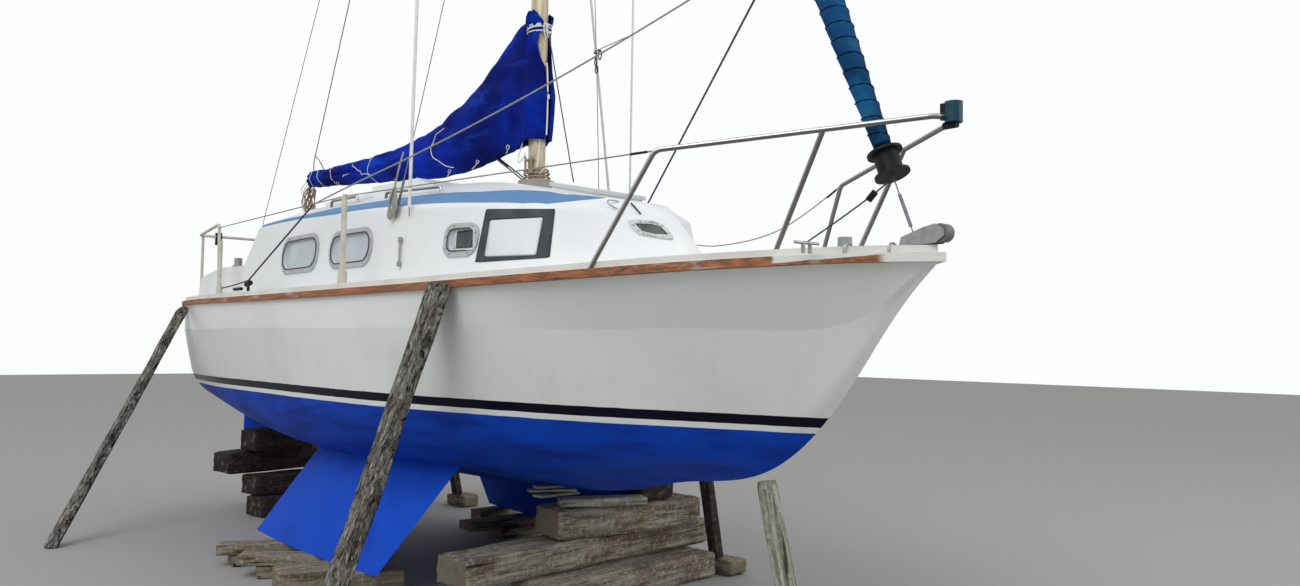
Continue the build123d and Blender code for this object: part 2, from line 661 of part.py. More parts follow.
for z in (1150, 1700):
    eye = Pos(RUDDER_AXIS_X, 0, z) * Cylinder(16, 24)
    arm = Pos(RUDDER_AXIS_X / 2, 0, z) * Box(-RUDDER_AXIS_X, 18, 24)
    plate = Pos(-3, 0, z) * Box(6, 70, 60)
    hanging_list.append(eye + arm + plate - Pos(RUDDER_AXIS_X, 0, z) * Cylinder(8.0, 60))
save("rudder_hangings", Compound(hanging_list))

# Engine, shaft and propeller
engine = Pos(1850, 0, 800) * Box(600, 440, 520, align=UPWARD)
save("engine", engine)
shaft_axis = Plane(origin=(PROP_X, 0, PROP_Z), z_dir=(1, 0, SHAFT_RISE))
shaft_end_on_engine = (1545, 0, PROP_Z + (1545 - PROP_X) * SHAFT_RISE)
propeller = rod(shaft_start, shaft_end_on_engine, SHAFT_R)
propeller = propeller + shaft_axis * Cylinder(32, 90)
for blade_number in range(3):
    blade = Pos(95, 0, 0) * Ellipse(75, 52)
    blade = extrude(blade, 3, both=True)
    blade = Rot(34, 0, 0) * blade
    propeller = propeller + shaft_axis * Rot(0, 0, 120 * blade_number) * blade
save("propeller", propeller)
bracket_x = PROP_X + 140
bracket_z = PROP_Z + 140 * SHAFT_RISE
bracket = shaft_axis * Pos(0, 0, 142) * Cylinder(26, 60)
bracket = bracket + Pos(bracket_x, 0, bracket_z) * Box(50, 14, 300, align=UPWARD)
bracket = bracket - rod(shaft_start, shaft_end, SHAFT_R + 1.5) - hull_solid
save("shaft_bracket", max(bracket.solids(), key=lambda s: s.volume))

# Mast with spreaders and boom
mast_face = Plane.XY.offset(MAST_FOOT - 60) * Pos(MAST_X, 0) * SlotOverall(MAST_LONG, MAST_WIDE)
mast = extrude(mast_face, MAST_HEAD - MAST_FOOT + 60)
mast_foot = Pos(MAST_X, 0, 2500) * Cylinder(120, 110, align=UPWARD)
mast = mast + mast_foot
for side in (PORT, STARBOARD):
    mast = mast + rod((MAST_X, 0, SPREADER_Z), (MAST_X - 30, side * 840, SPREADER_Z + 30), 16)
mast = mast - roof_outer
save("mast", mast)
boom_end = (BOOM_END_X, 0, BOOM_Z + BOOM_RISE)
boom = rod(boom_end, (GOOSENECK_X - 40, 0, BOOM_Z), BOOM_R)
tongue = Pos(GOOSENECK_X - 20, 0, BOOM_Z) * Box(70, 26, 50)
tongue = tongue + Pos(GOOSENECK_X + 15, 0, BOOM_Z) * Cylinder(14, 50)
boom = boom + tongue - Pos(GOOSENECK_X + 15, 0, BOOM_Z) * Cylinder(6.08, 90)
boom_turn = Location((GOOSENECK_X + 15, 0, 0), (0, 0, BOOM_REST)) * Location((-GOOSENECK_X - 15, 0, 0))
save("boom", boom_turn * boom)
gooseneck = Pos(GOOSENECK_X + 15, 0, BOOM_Z) * Cylinder(6, 74)
for z in (BOOM_Z - 37, BOOM_Z + 29):
    lug = Pos(GOOSENECK_X, 0, z) * Box(60, 34, 8, align=FORWARD)
    gooseneck = gooseneck + lug
save("gooseneck", gooseneck - mast)
cover = loft([
    Plane(origin=(x, 0, (low + top) / 2), z_dir=(1, 0, 0), x_dir=(0, 1, 0)) * Ellipse(half, (top - low) / 2)
    for x, low, top, half in COVER_SECTIONS])
boom_fall = BOOM_RISE / (GOOSENECK_X - 40 - BOOM_END_X)
hole_ends = [(x, 0, BOOM_Z + (GOOSENECK_X - 40 - x) * boom_fall) for x in (500, 4100)]
cover = cover - rod(*hole_ends, BOOM_R + 0.5)
cover = cover - Pos(GOOSENECK_X - 20, 0, BOOM_Z) * Box(140, 40, 70)
save("sail_cover", boom_turn * max(cover.solids(), key=lambda s: s.volume))

# Bow fitting and roller
fitting = side_profile([
    (6880, 1930), (6950, 1930), (6950, 1996), (7030, 1996), (7030, 2003), (6880, 2003)], 35)
fitting = fitting - hull_solid
for side in (PORT, STARBOARD):
    cheek = side_profile([
        (6880, 1998), (7060, 1998), (7108, 2028), (7104, 2058), (7060, 2082), (7000, 2070), (6890, 2034)], 3)
    fitting = fitting + Pos(0, side * 32, 0) * cheek
roller_spot = Pos(ROLLER_X, 0, ROLLER_Z) * Rot(90, 0, 0)
fitting = fitting + roller_spot * Cylinder(6, 70)
fitting = fitting - moulding - strake
save("bow_fitting", max(fitting.solids(), key=lambda s: s.volume))
roller = roller_spot * (Cylinder(ROLLER_R, 54) - Cylinder(6.08, 60))
save("bow_roller", roller)

# Standing rigging
stay_ends = [
    ((STAY_FOOT[0], 0, STAY_FOOT[1]), (STAY_HEAD[0], 0, STAY_HEAD[1])),
    (BACKSTAY_FOOT, (3990, 0, MAST_HEAD - 50)),
]
stays = []
for side in (PORT, STARBOARD):
    tip = (MAST_X - 30, side * 852, SPREADER_Z + 30)
    stay_ends.append(((3975, side * SHROUD_Y, SHROUD_Z), tip))
    stay_ends.append(((3800, side * SHROUD_Y, SHROUD_Z), (MAST_X - 30, side * 40, SPREADER_Z - 60)))
    stays.append(rod(tip, (MAST_X, side * 40, STAY_HEAD[1] - 40), WIRE_R))
for foot, head in stay_ends:
    stays.append(rod(foot, head, WIRE_R) + turnbuckle(foot, head))
wires = []
for stay in stays:
    cut = stay - hull_solid - roof_outer - mast - coaming - moulding - strake - fitting
    wires.append(max(cut.solids(), key=lambda s: s.volume))
save("stays", Compound(wires))
low = Vector(STAY_FOOT[0], 0, STAY_FOOT[1])
high = Vector(STAY_HEAD[0], 0, STAY_HEAD[1])
run = (high - low).normalized()
axis = Plane(origin=low, z_dir=run)
roll_side = [(radius, along) for along, radius in FURLED_ROLL]
roll = Polyline((0, FURLED_ROLL[0][0]), *roll_side, (0, FURLED_ROLL[-1][0]), close=True)
sail = axis * revolve(Plane.XZ * make_face(roll), Axis.Z)
drum = axis * Pos(0, 0, 345) * Cylinder(58, 125, align=UPWARD)
for along in (345, 458):
    drum = drum + axis * Pos(0, 0, along) * Cylinder(82, 12, align=UPWARD)
hole = axis * Cylinder(WIRE_R + 0.3, 9000, align=UPWARD)
save("furled_sail", sail - hole)
save("furling_drum", drum - hole)

# Pulpit, pushpit and stanchions
pulpit = tube([
    (5690, -850, 1880), (6000, -705, 2450), (7095, -70, 2540), (7095, 70, 2540),
    (6000, 705, 2450), (5690, 850, 1880)], TUBE_R, 60)
for side in (PORT, STARBOARD):
    pulpit = pulpit + tube([(6350, side * 300, 1900), (6675, side * 313, 2505)], TUBE_R, 10)
pulpit = pulpit - hull_solid - moulding - strake
save("pulpit", max(pulpit.solids(), key=lambda s: s.volume))
pushpit = tube([
    (1150, -1040, 1800), (1100, -1040, RAIL_TOP), (60, -860, RAIL_TOP), (60, 860, RAIL_TOP),
    (1100, 1040, RAIL_TOP), (1150, 1040, 1800)], TUBE_R, 60)
for side in (PORT, STARBOARD):
    pushpit = pushpit + tube([(80, side * 840, 1800), (75, side * 840, RAIL_TOP)], TUBE_R, 10)
pushpit = pushpit - hull_solid - moulding - strake
save("pushpit", max(pushpit.solids(), key=lambda s: s.volume))
posts = []
for side in (PORT, STARBOARD):
    post = tube([(3640, side * 1140, 1800), (3640, side * 1140, 2440)], TUBE_R, 10)
    post = post - hull_solid - moulding - strake
    posts.append(max(post.solids(), key=lambda s: s.volume))
save("stanchions", Compound(posts))

lantern = Pos(LANTERN_FRONT_X - LANTERN_R, 0, 2515) * Cylinder(LANTERN_R, 90, align=UPWARD)
save("bow_lantern", lantern - parts["pulpit"])

# Mooring post and cleats on the foredeck
bollard = Pos(6560, 0, 1900) * Cylinder(34, 160, align=UPWARD) - hull_solid
save("mooring_post", max(bollard.solids(), key=lambda s: s.volume))

# Timber stacks, each with a short block under the hull
stern = [beam(*row) for row in STERN_STACK]
stern_pad = Pos(360, 30, 740) * Box(200, 300, 400, align=UPWARD) - hull_solid
stern.append(min(stern_pad.solids(), key=lambda s: s.center().Z))
save("stern_timbers", Compound([s for b in stern for s in b.solids()]))
fore = [beam(*row) for row in FORE_STACK]
fore_pad = Pos(4560, 560, 545) * Box(240, 300, 400, align=UPWARD) - hull_solid
fore.append(min(fore_pad.solids(), key=lambda s: s.center().Z))
save("fore_timbers", Compound([s for b in fore for s in b.solids()]))

# Planks under the keels
save("keel_planks", Compound([s for row in KEEL_PLANKS for s in beam(*row).solids()]))

# Leaning props and posts
port_foot, port_head, prop_wide, prop_deep = AFT_PROP
starboard_foot, starboard_head = [(x, -y, z) for x, y, z in (port_foot, port_head)]
mid_prop = trimmed(leaning(*MID_PROP))
starboard_prop = trimmed(leaning(starboard_foot, starboard_head, prop_wide, prop_deep))
save("props_starboard", Compound([starboard_prop, mid_prop]))
port_pieces = [trimmed(leaning(*AFT_PROP))]
for x, foot_y, head_y, head_z in PORT_POSTS:
    block = beam(x, foot_y + POST_BLOCK_OUT, 0, *POST_BLOCK, 3)
    post = leaning((x, foot_y, POST_BLOCK[2]), (x, head_y, head_z), POST_WIDE, POST_DEEP)
    port_pieces += [block, trimmed(post - block)]
save("props_port", Compound([s for piece in port_pieces for s in piece.solids()]))
save("fore_post", trimmed(leaning(*FORE_POST)))

for shape_name, shape in parts.items():
    box = shape.bounding_box()
    print(shape_name, len(shape.solids()), round(shape.volume / 1e9, 4), shape.is_valid,
          [round(v) for v in (box.min.X, box.max.X, box.min.Y, box.max.Y, box.min.Z, box.max.Z)])

os.makedirs("parts", exist_ok=True)
for shape_name, shape in parts.items():
    export_step(Location((-CENTRE_X, 0, 0)) * shape, "parts/" + shape_name + ".step")
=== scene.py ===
import math

import bmesh
import bpy
from mathutils import Matrix, Vector, noise
from mathutils.bvhtree import BVHTree


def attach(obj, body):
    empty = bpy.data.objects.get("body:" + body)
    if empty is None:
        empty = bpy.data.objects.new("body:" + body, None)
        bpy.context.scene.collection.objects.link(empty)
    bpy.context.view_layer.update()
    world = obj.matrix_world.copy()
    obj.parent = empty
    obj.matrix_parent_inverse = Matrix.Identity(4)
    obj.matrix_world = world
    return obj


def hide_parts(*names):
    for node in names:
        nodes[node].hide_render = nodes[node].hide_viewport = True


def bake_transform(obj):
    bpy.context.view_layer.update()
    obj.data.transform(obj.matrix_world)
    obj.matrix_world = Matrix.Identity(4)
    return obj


# A twin-keel yacht laid up ashore. Metres. Every piece is laid out from the transom, X forward,
# and moved by SHIFT into the frame, whose origin is midway along the boat.
SHIFT = 3.39116

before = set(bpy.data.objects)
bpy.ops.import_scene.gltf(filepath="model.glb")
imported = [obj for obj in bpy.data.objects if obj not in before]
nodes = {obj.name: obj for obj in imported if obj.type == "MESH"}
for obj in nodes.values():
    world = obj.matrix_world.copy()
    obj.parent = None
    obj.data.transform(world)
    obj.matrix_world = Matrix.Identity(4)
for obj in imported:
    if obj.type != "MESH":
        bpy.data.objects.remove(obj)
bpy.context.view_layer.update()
ROOF = ("coachroof", "coachroof_nose")


def at(x, y, z):
    return Vector((x - SHIFT, y, z))


# Camera at the photograph's place: the picture's width, middle and focal length are in its pixels
CAMERA_AT = at(9.4, -3.772, 1.541)
CAMERA_AZIMUTH = 48.12
CAMERA_PITCH = 3.01
CAMERA_ROLL = 0.835
PICTURE_WIDE = 1300
PICTURE_MIDDLE = (650, 293)
FOCAL = 989.5
SENSOR = 36.0


def new_object(name, data):
    made = bpy.data.objects.new(name, data)
    bpy.context.scene.collection.objects.link(made)
    return made


def camera_axes():
    azimuth, pitch, roll = (math.radians(a) for a in (CAMERA_AZIMUTH, CAMERA_PITCH, CAMERA_ROLL))
    flat = math.cos(pitch)
    ahead = Vector((-math.sin(azimuth) * flat, math.cos(azimuth) * flat, math.sin(pitch)))
    level = Vector((math.cos(azimuth), math.sin(azimuth), 0))
    upright = level.cross(ahead)
    right = math.cos(roll) * level + math.sin(roll) * upright
    up = math.cos(roll) * upright - math.sin(roll) * level
    return right, up, ahead


def make_camera():
    right, up, ahead = camera_axes()
    data = bpy.data.cameras.new("camera")
    data.sensor_width = SENSOR
    data.lens = SENSOR * (FOCAL / PICTURE_WIDE)
    data.clip_end = 200
    camera = new_object("camera", data)
    camera.matrix_world = Matrix.Translation(CAMERA_AT) @ Matrix((right, up, -ahead)).transposed().to_4x4()
    bpy.context.scene.camera = camera


# Every material is built from these node helpers
class Shader:
    def __init__(self, name, rough=0.5, metal=0.0, shine=0.5):
        self.material = bpy.data.materials.new(name)
        self.material.use_nodes = True
        self.tree = self.material.node_tree
        self.shader = self.tree.nodes["Principled BSDF"]
        self.set("Roughness", rough)
        self.set("Metallic", metal)
        self.set("Specular IOR Level", shine)
        self.coords = self.tree.nodes.new("ShaderNodeTexCoord")

    def plug(self, value, socket):
        if isinstance(value, bpy.types.NodeSocket):
            self.tree.links.new(value, socket)
        elif socket.type == "RGBA":
            socket.default_value = (*value, 1)
        else:
            socket.default_value = value

    def set(self, name, value):
        self.plug(value, self.shader.inputs[name])

    def add(self, kind, **settings):
        node = self.tree.nodes.new(kind)
        for key, value in settings.items():
            setattr(node, key, value)
        return node

    def place(self, stretch):
        node = self.add("ShaderNodeMapping")
        node.inputs["Scale"].default_value = stretch
        self.tree.links.new(self.coords.outputs["Object"], node.inputs["Vector"])
        return node.outputs["Vector"]

    def noise(self, scale, detail=3.0, vector=None, rough=0.55, twist=0.0):
        node = self.add("ShaderNodeTexNoise")
        values = {"Scale": scale, "Detail": detail, "Roughness": rough, "Distortion": twist}
        for name, value in values.items():
            node.inputs[name].default_value = value
        self.tree.links.new(vector or self.coords.outputs["Object"], node.inputs["Vector"])
        return node.outputs["Fac"]

    def axes(self, vector=None):
        node = self.add("ShaderNodeSeparateXYZ")
        self.tree.links.new(vector or self.coords.outputs["Object"], node.inputs[0])
        return node.outputs

    def math(self, operation, a, b=0.0, clamp=False):
        node = self.add("ShaderNodeMath", operation=operation, use_clamp=clamp)
        self.plug(a, node.inputs[0])
        self.plug(b, node.inputs[1])
        return node.outputs[0]

    def plus(self, a, b):
        return self.math("ADD", a, b)

    def minus(self, a, b):
        return self.math("SUBTRACT", a, b)

    def times(self, a, b):
        return self.math("MULTIPLY", a, b)

    def step(self, value, start, end):
        # 0 before start, 1 after end, smooth between
        node = self.add("ShaderNodeMapRange", interpolation_type="SMOOTHSTEP")
        self.plug(value, node.inputs["Value"])
        self.plug(start, node.inputs["From Min"])
        self.plug(end, node.inputs["From Max"])
        return node.outputs[0]

    def mix(self, share, a, b):
        node = self.add("ShaderNodeMix", data_type="RGBA")
        self.plug(share, node.inputs[0])
        self.plug(a, node.inputs[6])
        self.plug(b, node.inputs[7])
        return node.outputs[2]

    def follow(self, value, table):
        # A line through the points of a table, by straight runs between them
        out = table[0][1]
        for (start, low), (end, high) in zip(table, table[1:]):
            share = self.math("DIVIDE", self.minus(value, start), end - start, clamp=True)
            out = self.plus(out, self.times(share, high - low))
        return out

    def bump(self, height, strength=0.3, distance=0.002):
        node = self.add("ShaderNodeBump")
        node.inputs["Strength"].default_value = strength
        node.inputs["Distance"].default_value = distance
        self.plug(height, node.inputs["Height"])
        self.tree.links.new(node.outputs[0], self.shader.inputs["Normal"])


# Colours, as linear values
WHITE = (0.75, 0.775, 0.765)
WHITE_WARM = (0.6, 0.62, 0.56)
# Yellow-green stain colour, also used for the painted reflection below the knuckle
STAIN_AND_REFLECTED_TINT = (0.3, 0.33, 0.17)
GROWTH = (0.035, 0.06, 0.02)
NAVY = (0.002, 0.003, 0.012)
ROYAL = (0.002, 0.06, 0.5)
ROYAL_DARK = (0.002, 0.025, 0.27)
BAND_BLUE = (0.1, 0.24, 0.46)
ROOF_WHITE = (0.82, 0.84, 0.85)

# Painted bands on the hull: heights above the blue's edge, and how that edge falls going forward
BLUE_EDGE = 1.186
BLUE_FALL = 0.0062
BLUE_BOW = 0.0027
BLUE_MIDDLE = 3.9
LINE_TOP = 0.03
NAVY_TOP = 0.08
EDGE_SOFT = 0.0015


def hull_paint():
    s = Shader("hull_paint", rough=0.32)
    x, _, z = s.axes()
    wobble = s.times(s.minus(s.noise(9.0), 0.5), 0.006)
    along = s.plus(x, SHIFT)
    away = s.minus(along, BLUE_MIDDLE)
    level = s.plus(z, s.times(along, BLUE_FALL))
    level = s.plus(level, s.times(s.times(away, away), BLUE_BOW))
    level = s.plus(s.minus(level, BLUE_EDGE), wobble)
    above_blue, above_line, above_navy = [
        s.step(level, top - EDGE_SOFT, top + EDGE_SOFT) for top in (0.0, LINE_TOP, NAVY_TOP)]
    blotch = s.noise(1.7, 5.0)
    streak = s.noise(1.0, 4.0, s.place((9, 9, 0.7)))
    cloud = s.times(s.step(blotch, 0.42, 0.75), 0.4)
    topside = s.mix(cloud, WHITE, WHITE_WARM)
    aft = s.step(x, 1.0 - SHIFT, 0.0 - SHIFT)
    lower = s.step(z, 1.75, 1.25)
    stained = s.times(s.times(aft, lower), s.step(streak, 0.3, 0.75))
    topside = s.mix(s.times(stained, 0.75), topside, STAIN_AND_REFLECTED_TINT)
    # Painted reflection: below the knuckle the white takes a faint warm tint in streaks, standing for light
    # thrown up from the ground
    below = s.step(z, 1.62, 1.3)
    ground_reflection = s.times(s.times(below, s.step(streak, 0.5, 0.8)), 0.16)
    topside = s.mix(ground_reflection, topside, STAIN_AND_REFLECTED_TINT)
    brush = s.noise(1.0, 5.0, s.place((2.2, 2.2, 11)))
    blue = s.mix(s.step(brush, 0.35, 0.75), ROYAL, ROYAL_DARK)
    colour = s.mix(above_blue, blue, WHITE)
    green = s.times(s.step(x, 1.3 - SHIFT, 0.2 - SHIFT), s.step(streak, 0.35, 0.6))
    colour = s.mix(above_line, colour, s.mix(green, NAVY, GROWTH))
    colour = s.mix(above_navy, colour, topside)
    s.set("Base Color", colour)
    s.set("Roughness", s.minus(0.55, s.times(above_blue, 0.27)))
    s.set("Specular IOR Level", s.plus(0.12, s.times(above_navy, 0.38)))
    s.bump(s.noise(3.0, 2.0), 0.12, 0.01)
    return s.material


# Blue non-slip band along the coachroof: its lower and upper edges as they are seen in the picture
BAND_LOW = [
    (266, 226.5), (300, 219.5), (333, 215.2), (403.9, 206.1), (480, 202.7), (546.5, 204.3), (580, 200.5),
    (606, 198.2)]
BAND_HIGH = [
    (300, 216.0), (333, 208.5), (403.9, 197.5), (480, 191.8), (518, 190.0), (550, 191.5), (580, 195.0),
    (606, 197.6)]


def roof_paint():
    tree = surface(*ROOF)
    s = Shader("roof_paint", rough=0.3)
    x, y, z = s.axes()
    # How far out and down a place lies on the roof
    outward = s.minus(s.math("ABSOLUTE", y), z)
    spots = [[seen(tree, *place) for place in edge] for edge in (BAND_LOW, BAND_HIGH)]
    low, high = [s.follow(x, [(p.x, abs(p.y) - p.z) for p in edge]) for edge in spots]
    aft, fore = spots[0][0].x - 0.1, spots[0][-1].x
    inside = s.times(s.step(s.minus(low, outward), 0.0, 0.004), s.step(s.minus(outward, high), 0.0, 0.004))
    ends = s.times(s.step(x, aft, aft + 0.01), s.step(x, fore, fore - 0.01))
    band = s.times(inside, ends)
    grime = s.step(s.noise(2.1, 5.0), 0.45, 0.8)
    white = s.mix(s.times(grime, 0.22), ROOF_WHITE, (0.6, 0.6, 0.52))
    worn = s.step(s.noise(14.0, 5.0), 0.6, 0.72)
    blue = s.mix(worn, BAND_BLUE, (0.18, 0.33, 0.5))
    s.set("Base Color", s.mix(band, white, blue))
    s.set("Roughness", s.plus(0.3, s.times(band, 0.4)))
    s.bump(s.times(s.noise(260.0, 2.0), band), 0.3, 0.001)
    return s.material


def plain(name, colour, other, scale=6.0, rough=0.4, metal=0.0, bumps=0.1, grain=40.0, share=0.5, shine=0.5):
    # Two shades of one colour in soft patches over a fine surface
    s = Shader(name, rough, metal, shine)
    patch = s.step(s.noise(scale, 5.0), 0.4, 0.75)
    s.set("Base Color", s.mix(s.times(patch, share), colour, other))
    s.set("Roughness", s.plus(rough - 0.06, s.times(s.noise(scale * 3), 0.14)))
    s.bump(s.noise(grain, 3.0), bumps, 0.001)
    return s.material


def door_paint():
    # Varnished wood: long fibres with fine cracks
    s = Shader("door_wood", rough=0.35)
    fibre = s.noise(1.0, 8.0, s.place((30, 30, 2.5)), rough=0.7)
    crack = s.noise(1.0, 4.0, s.place((13.5, 13.5, 1.125)), twist=0.6)
    colour = s.mix(s.step(fibre, 0.35, 0.68), (0.14, 0.055, 0.022), (0.3, 0.13, 0.05))
    s.set("Base Color", s.mix(s.step(crack, 0.36, 0.3), colour, (0.049, 0.01925, 0.0077)))
    s.bump(s.plus(fibre, s.times(s.step(crack, 0.3, 0.4), 0.8)), 0.6, 0.004)
    return s.material


def paint(node, mat):
    slots = nodes[node].data.materials
    slots.clear()
    slots.append(mat)


def put(name, data, mat, body):
    piece = new_object(name, data)
    data.materials.append(mat)
    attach(piece, body)
    return piece


def settle(bm):
    data = bpy.data.meshes.new("shape")
    bm.to_mesh(data)
    bm.free()
    data.shade_smooth()
    return data


def turns(count, closed=False):
    return [math.tau * i / count for i in range(count + closed)]


def bridge(bm, rows, closed=True):
    # Faces between rows of points that have the same count
    count = len(rows[0])
    for low, high in zip(rows, rows[1:]):
        for i in range(count if closed else count - 1):
            j = (i + 1) % count
            bm.faces.new((low[i], low[j], high[j], high[i]))


def skin(loops):
    # A closed surface through rings of points
    bm = bmesh.new()
    rings = [[bm.verts.new(point) for point in loop] for loop in loops]
    bridge(bm, rings)
    bm.faces.new(list(reversed(rings[0])))
    bm.faces.new(rings[-1])
    bmesh.ops.recalc_face_normals(bm, faces=bm.faces)
    return settle(bm)


def rope_curve(name, runs):
    # Ropes, wires and rods: each run is a radius and the points it follows
    data = bpy.data.curves.new(name, "CURVE")
    data.dimensions = "3D"
    data.bevel_depth = 0.001
    data.bevel_resolution = 3
    data.use_fill_caps = True
    for radius, points in runs:
        kind = "NURBS" if 2 < len(points) < 60 else "POLY"
        spline = data.splines.new(kind)
        spline.points.add(len(points) - 1)
        for point, place in zip(spline.points, points):
            point.co = (*place, 1)
            point.radius = radius / 0.001
        if kind == "NURBS":
            spline.order_u = 3
            spline.use_endpoint_u = True
            spline.resolution_u = 6
    return data


def lines(name, runs, mat, body="boat"):
    # Ropes are most of these pieces; they go on the boat's body where no other body is named
    return put(name, rope_curve(name, runs), mat, body)


def laid_out(rows):
    return [(radius, [at(*point) for point in points]) for radius, points in rows]


def both_sides(rows):
    return laid_out(
        (radius, [(x, side * y, z) for x, y, z in points]) for side in (-1, 1) for radius, points in rows)


def falls(name, runs, mat):
    # Ropes from the boat up to the boom, made into a fixed mesh
    path = bpy.data.objects.new(name, rope_curve(name, runs))
    data = bpy.data.meshes.new_from_object(path)
    bpy.data.objects.remove(path)
    data.materials.clear()
    data.materials.append(mat)
    data.shade_smooth()
    piece = new_object(name, data)
    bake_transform(piece)


def tree_of(objects):
    verts = []
    faces = []
    for piece in objects:
        first = len(verts)
        verts += [v.co.copy() for v in piece.data.vertices]
        faces += [[first + i for i in polygon.vertices] for polygon in piece.data.polygons]
    return BVHTree.FromPolygons(verts, faces)


def surface(*names):
    # The CAD faces that a piece is laid on
    return tree_of([nodes[name] for name in names])


def seen(tree, px, py, lift=0.0):
    # The point of a surface that lies at a place in the picture
    right, up, ahead = camera_axes()
    across, down = (px - PICTURE_MIDDLE[0]) / FOCAL, (py - PICTURE_MIDDLE[1]) / FOCAL
    ray = ahead + right * across - up * down
    spot, normal = tree.ray_cast(CAMERA_AT, ray.normalized())[:2]
    if spot is None:
        raise ValueError(f"no surface is seen at {px:.1f}, {py:.1f}")
    if normal.dot(ray) > 0:
        normal = -normal
    return spot + normal * lift


# Timbers: centre x y, bottom z, length, depth, height, turn
STERN_STACK = [
    (0.559, 0.053, 0.0, 1.15, 0.28, 0.175, 98.0),
    (0.471, 0.02, 0.175, 1.1, 0.28, 0.175, 97.0),
    (0.185, -0.007, 0.35, 1.4, 0.28, 0.19, 100.0),
    (0.361, 0.04, 0.54, 1.1, 0.29, 0.2, 97.0),
]
FORE_STACK = [
    (4.62, 0.3, 0.0, 1.5, 0.3, 0.175, 93.0),
    (4.441, 0.162, 0.175, 2.058, 0.3, 0.18, 95.0),
    (4.501, 0.394, 0.355, 1.105, 0.3, 0.19, 84.8),
    (4.601, 0.159, 0.545, 0.55, 0.14, 0.055, 65.3),
]
KEEL_PLANKS = [
    (2.5, -1.11, 0.075, 0.62, 0.18, 0.075, 62.0),
    (2.44, -1.08, 0.0, 0.48, 0.22, 0.075, 80.0),
    (2.96, -1.13, 0.075, 0.64, 0.17, 0.075, 50.0),
    (2.9, -1.1, 0.0, 0.42, 0.24, 0.075, 70.0),
    (3.42, -1.11, 0.0, 0.56, 0.24, 0.15, 76.0),
    (3.74, -0.96, 0.0, 0.42, 0.12, 0.15, 72.0),
    (2.68, 0.95, 0.075, 1.15, 0.2, 0.075, 88.0),
    (2.66, 0.99, 0.0, 0.7, 0.24, 0.075, 92.0),
    (3.35, 1.01, 0.075, 0.64, 0.2, 0.075, 94.0),
    (3.33, 1.02, 0.0, 0.5, 0.23, 0.075, 88.0),
    (3.76, 1.0, 0.0, 0.48, 0.15, 0.15, 86.0),
    (2.23, 1.01, 0.0, 0.56, 0.16, 0.15, 92.0),
]
PORT_POSTS = [(4.65, 1.13, 0.9, 1.2), (1.18, 1.19, 0.96, 1.25)]
POST_BLOCK = (0.3, 0.18, 0.11)
POST_BLOCK_OUT = 0.06


def worn_block(size, seed, corner, rough, step=0.03):
    # A block whose edges have worn round and whose faces have furrowed along its length
    half = [v / 2 for v in size]
    bm = bmesh.new()
    bmesh.ops.create_cube(bm, size=1.0)
    for v in bm.verts:
        v.co = Vector((v.co.x * size[0], v.co.y * size[1], v.co.z * size[2]))
    for axis, length in enumerate(size):
        span = step * (1.6 if axis == 0 else 0.5)
        cuts = max(2, round(length / span))
        along = [e for e in bm.edges if abs((e.verts[1].co - e.verts[0].co)[axis]) > 0.9 * length]
        bmesh.ops.subdivide_edges(bm, edges=along, cuts=cuts, use_grid_fill=True)
    for v in bm.verts:
        p = v.co.copy()
        furrow = noise.noise(Vector((p.x * 2.4 + seed * 7.3, p.y * 26 + seed, p.z * 26 - seed))) * rough
        lump = noise.noise(Vector((p.x * 3.1 + seed, p.y * 5, p.z * 5 + seed))) * rough
        chip = max(0.0, noise.noise(Vector((p.x * 5 - seed, p.y * 9, p.z * 9))) - 0.2) * corner * 2.4
        near = [half[i] - abs(p[i]) < 1e-5 for i in range(3)]
        inward = Vector([-math.copysign(1.0, p[i]) if near[i] else 0.0 for i in range(3)])
        depth = rough * 0.6 + furrow + lump
        if sum(near) >= 2:
            depth += corner * 0.45 + chip
        v.co = p + inward * max(0.0, depth)
    return settle(bm)


def timber(name, row, mat, node, seed, corner=0.014, rough=0.006):
    x, y, z, long, deep, high, turn = row
    piece = put(name, worn_block((long, deep, high), seed, corner, rough), mat, "boat")
    middle = at(x, y, z + high / 2)
    piece.matrix_world = Matrix.Translation(middle) @ Matrix.Rotation(math.radians(turn), 4, "Z")
    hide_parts(node)


def prop(name, foot, head, wide, deep, mat, node, seed, rough=0.009):
    # A rough slab leaning between two points, cut level at its foot
    low = at(*foot)
    run = at(*head) - low
    ahead = run.normalized()
    side = (Vector((1, 0, 0)) - ahead * ahead.x).normalized()
    turn = Matrix((ahead, side, ahead.cross(side))).transposed()
    middle = low + run / 2
    data = worn_block((run.length + 0.05, wide, deep), seed, 0.016, rough, 0.022)
    for v in data.vertices:
        drop = (middle + turn @ v.co).z - low.z
        if drop < 0:
            v.co.x -= drop / ahead.z
    piece = put(name, data, mat, "boat")
    piece.matrix_world = Matrix.Translation(middle) @ turn.to_4x4()
    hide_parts(node)


FORE_BOARDS = [(4.42, -0.06, 0.602, 88.0), (4.4, -0.08, 0.628, 64.0), (4.41, -0.05, 0.652, 78.0)]
BOARD_SIZE = (0.3, 0.095, 0.016)
POST_SHARE = 0.93


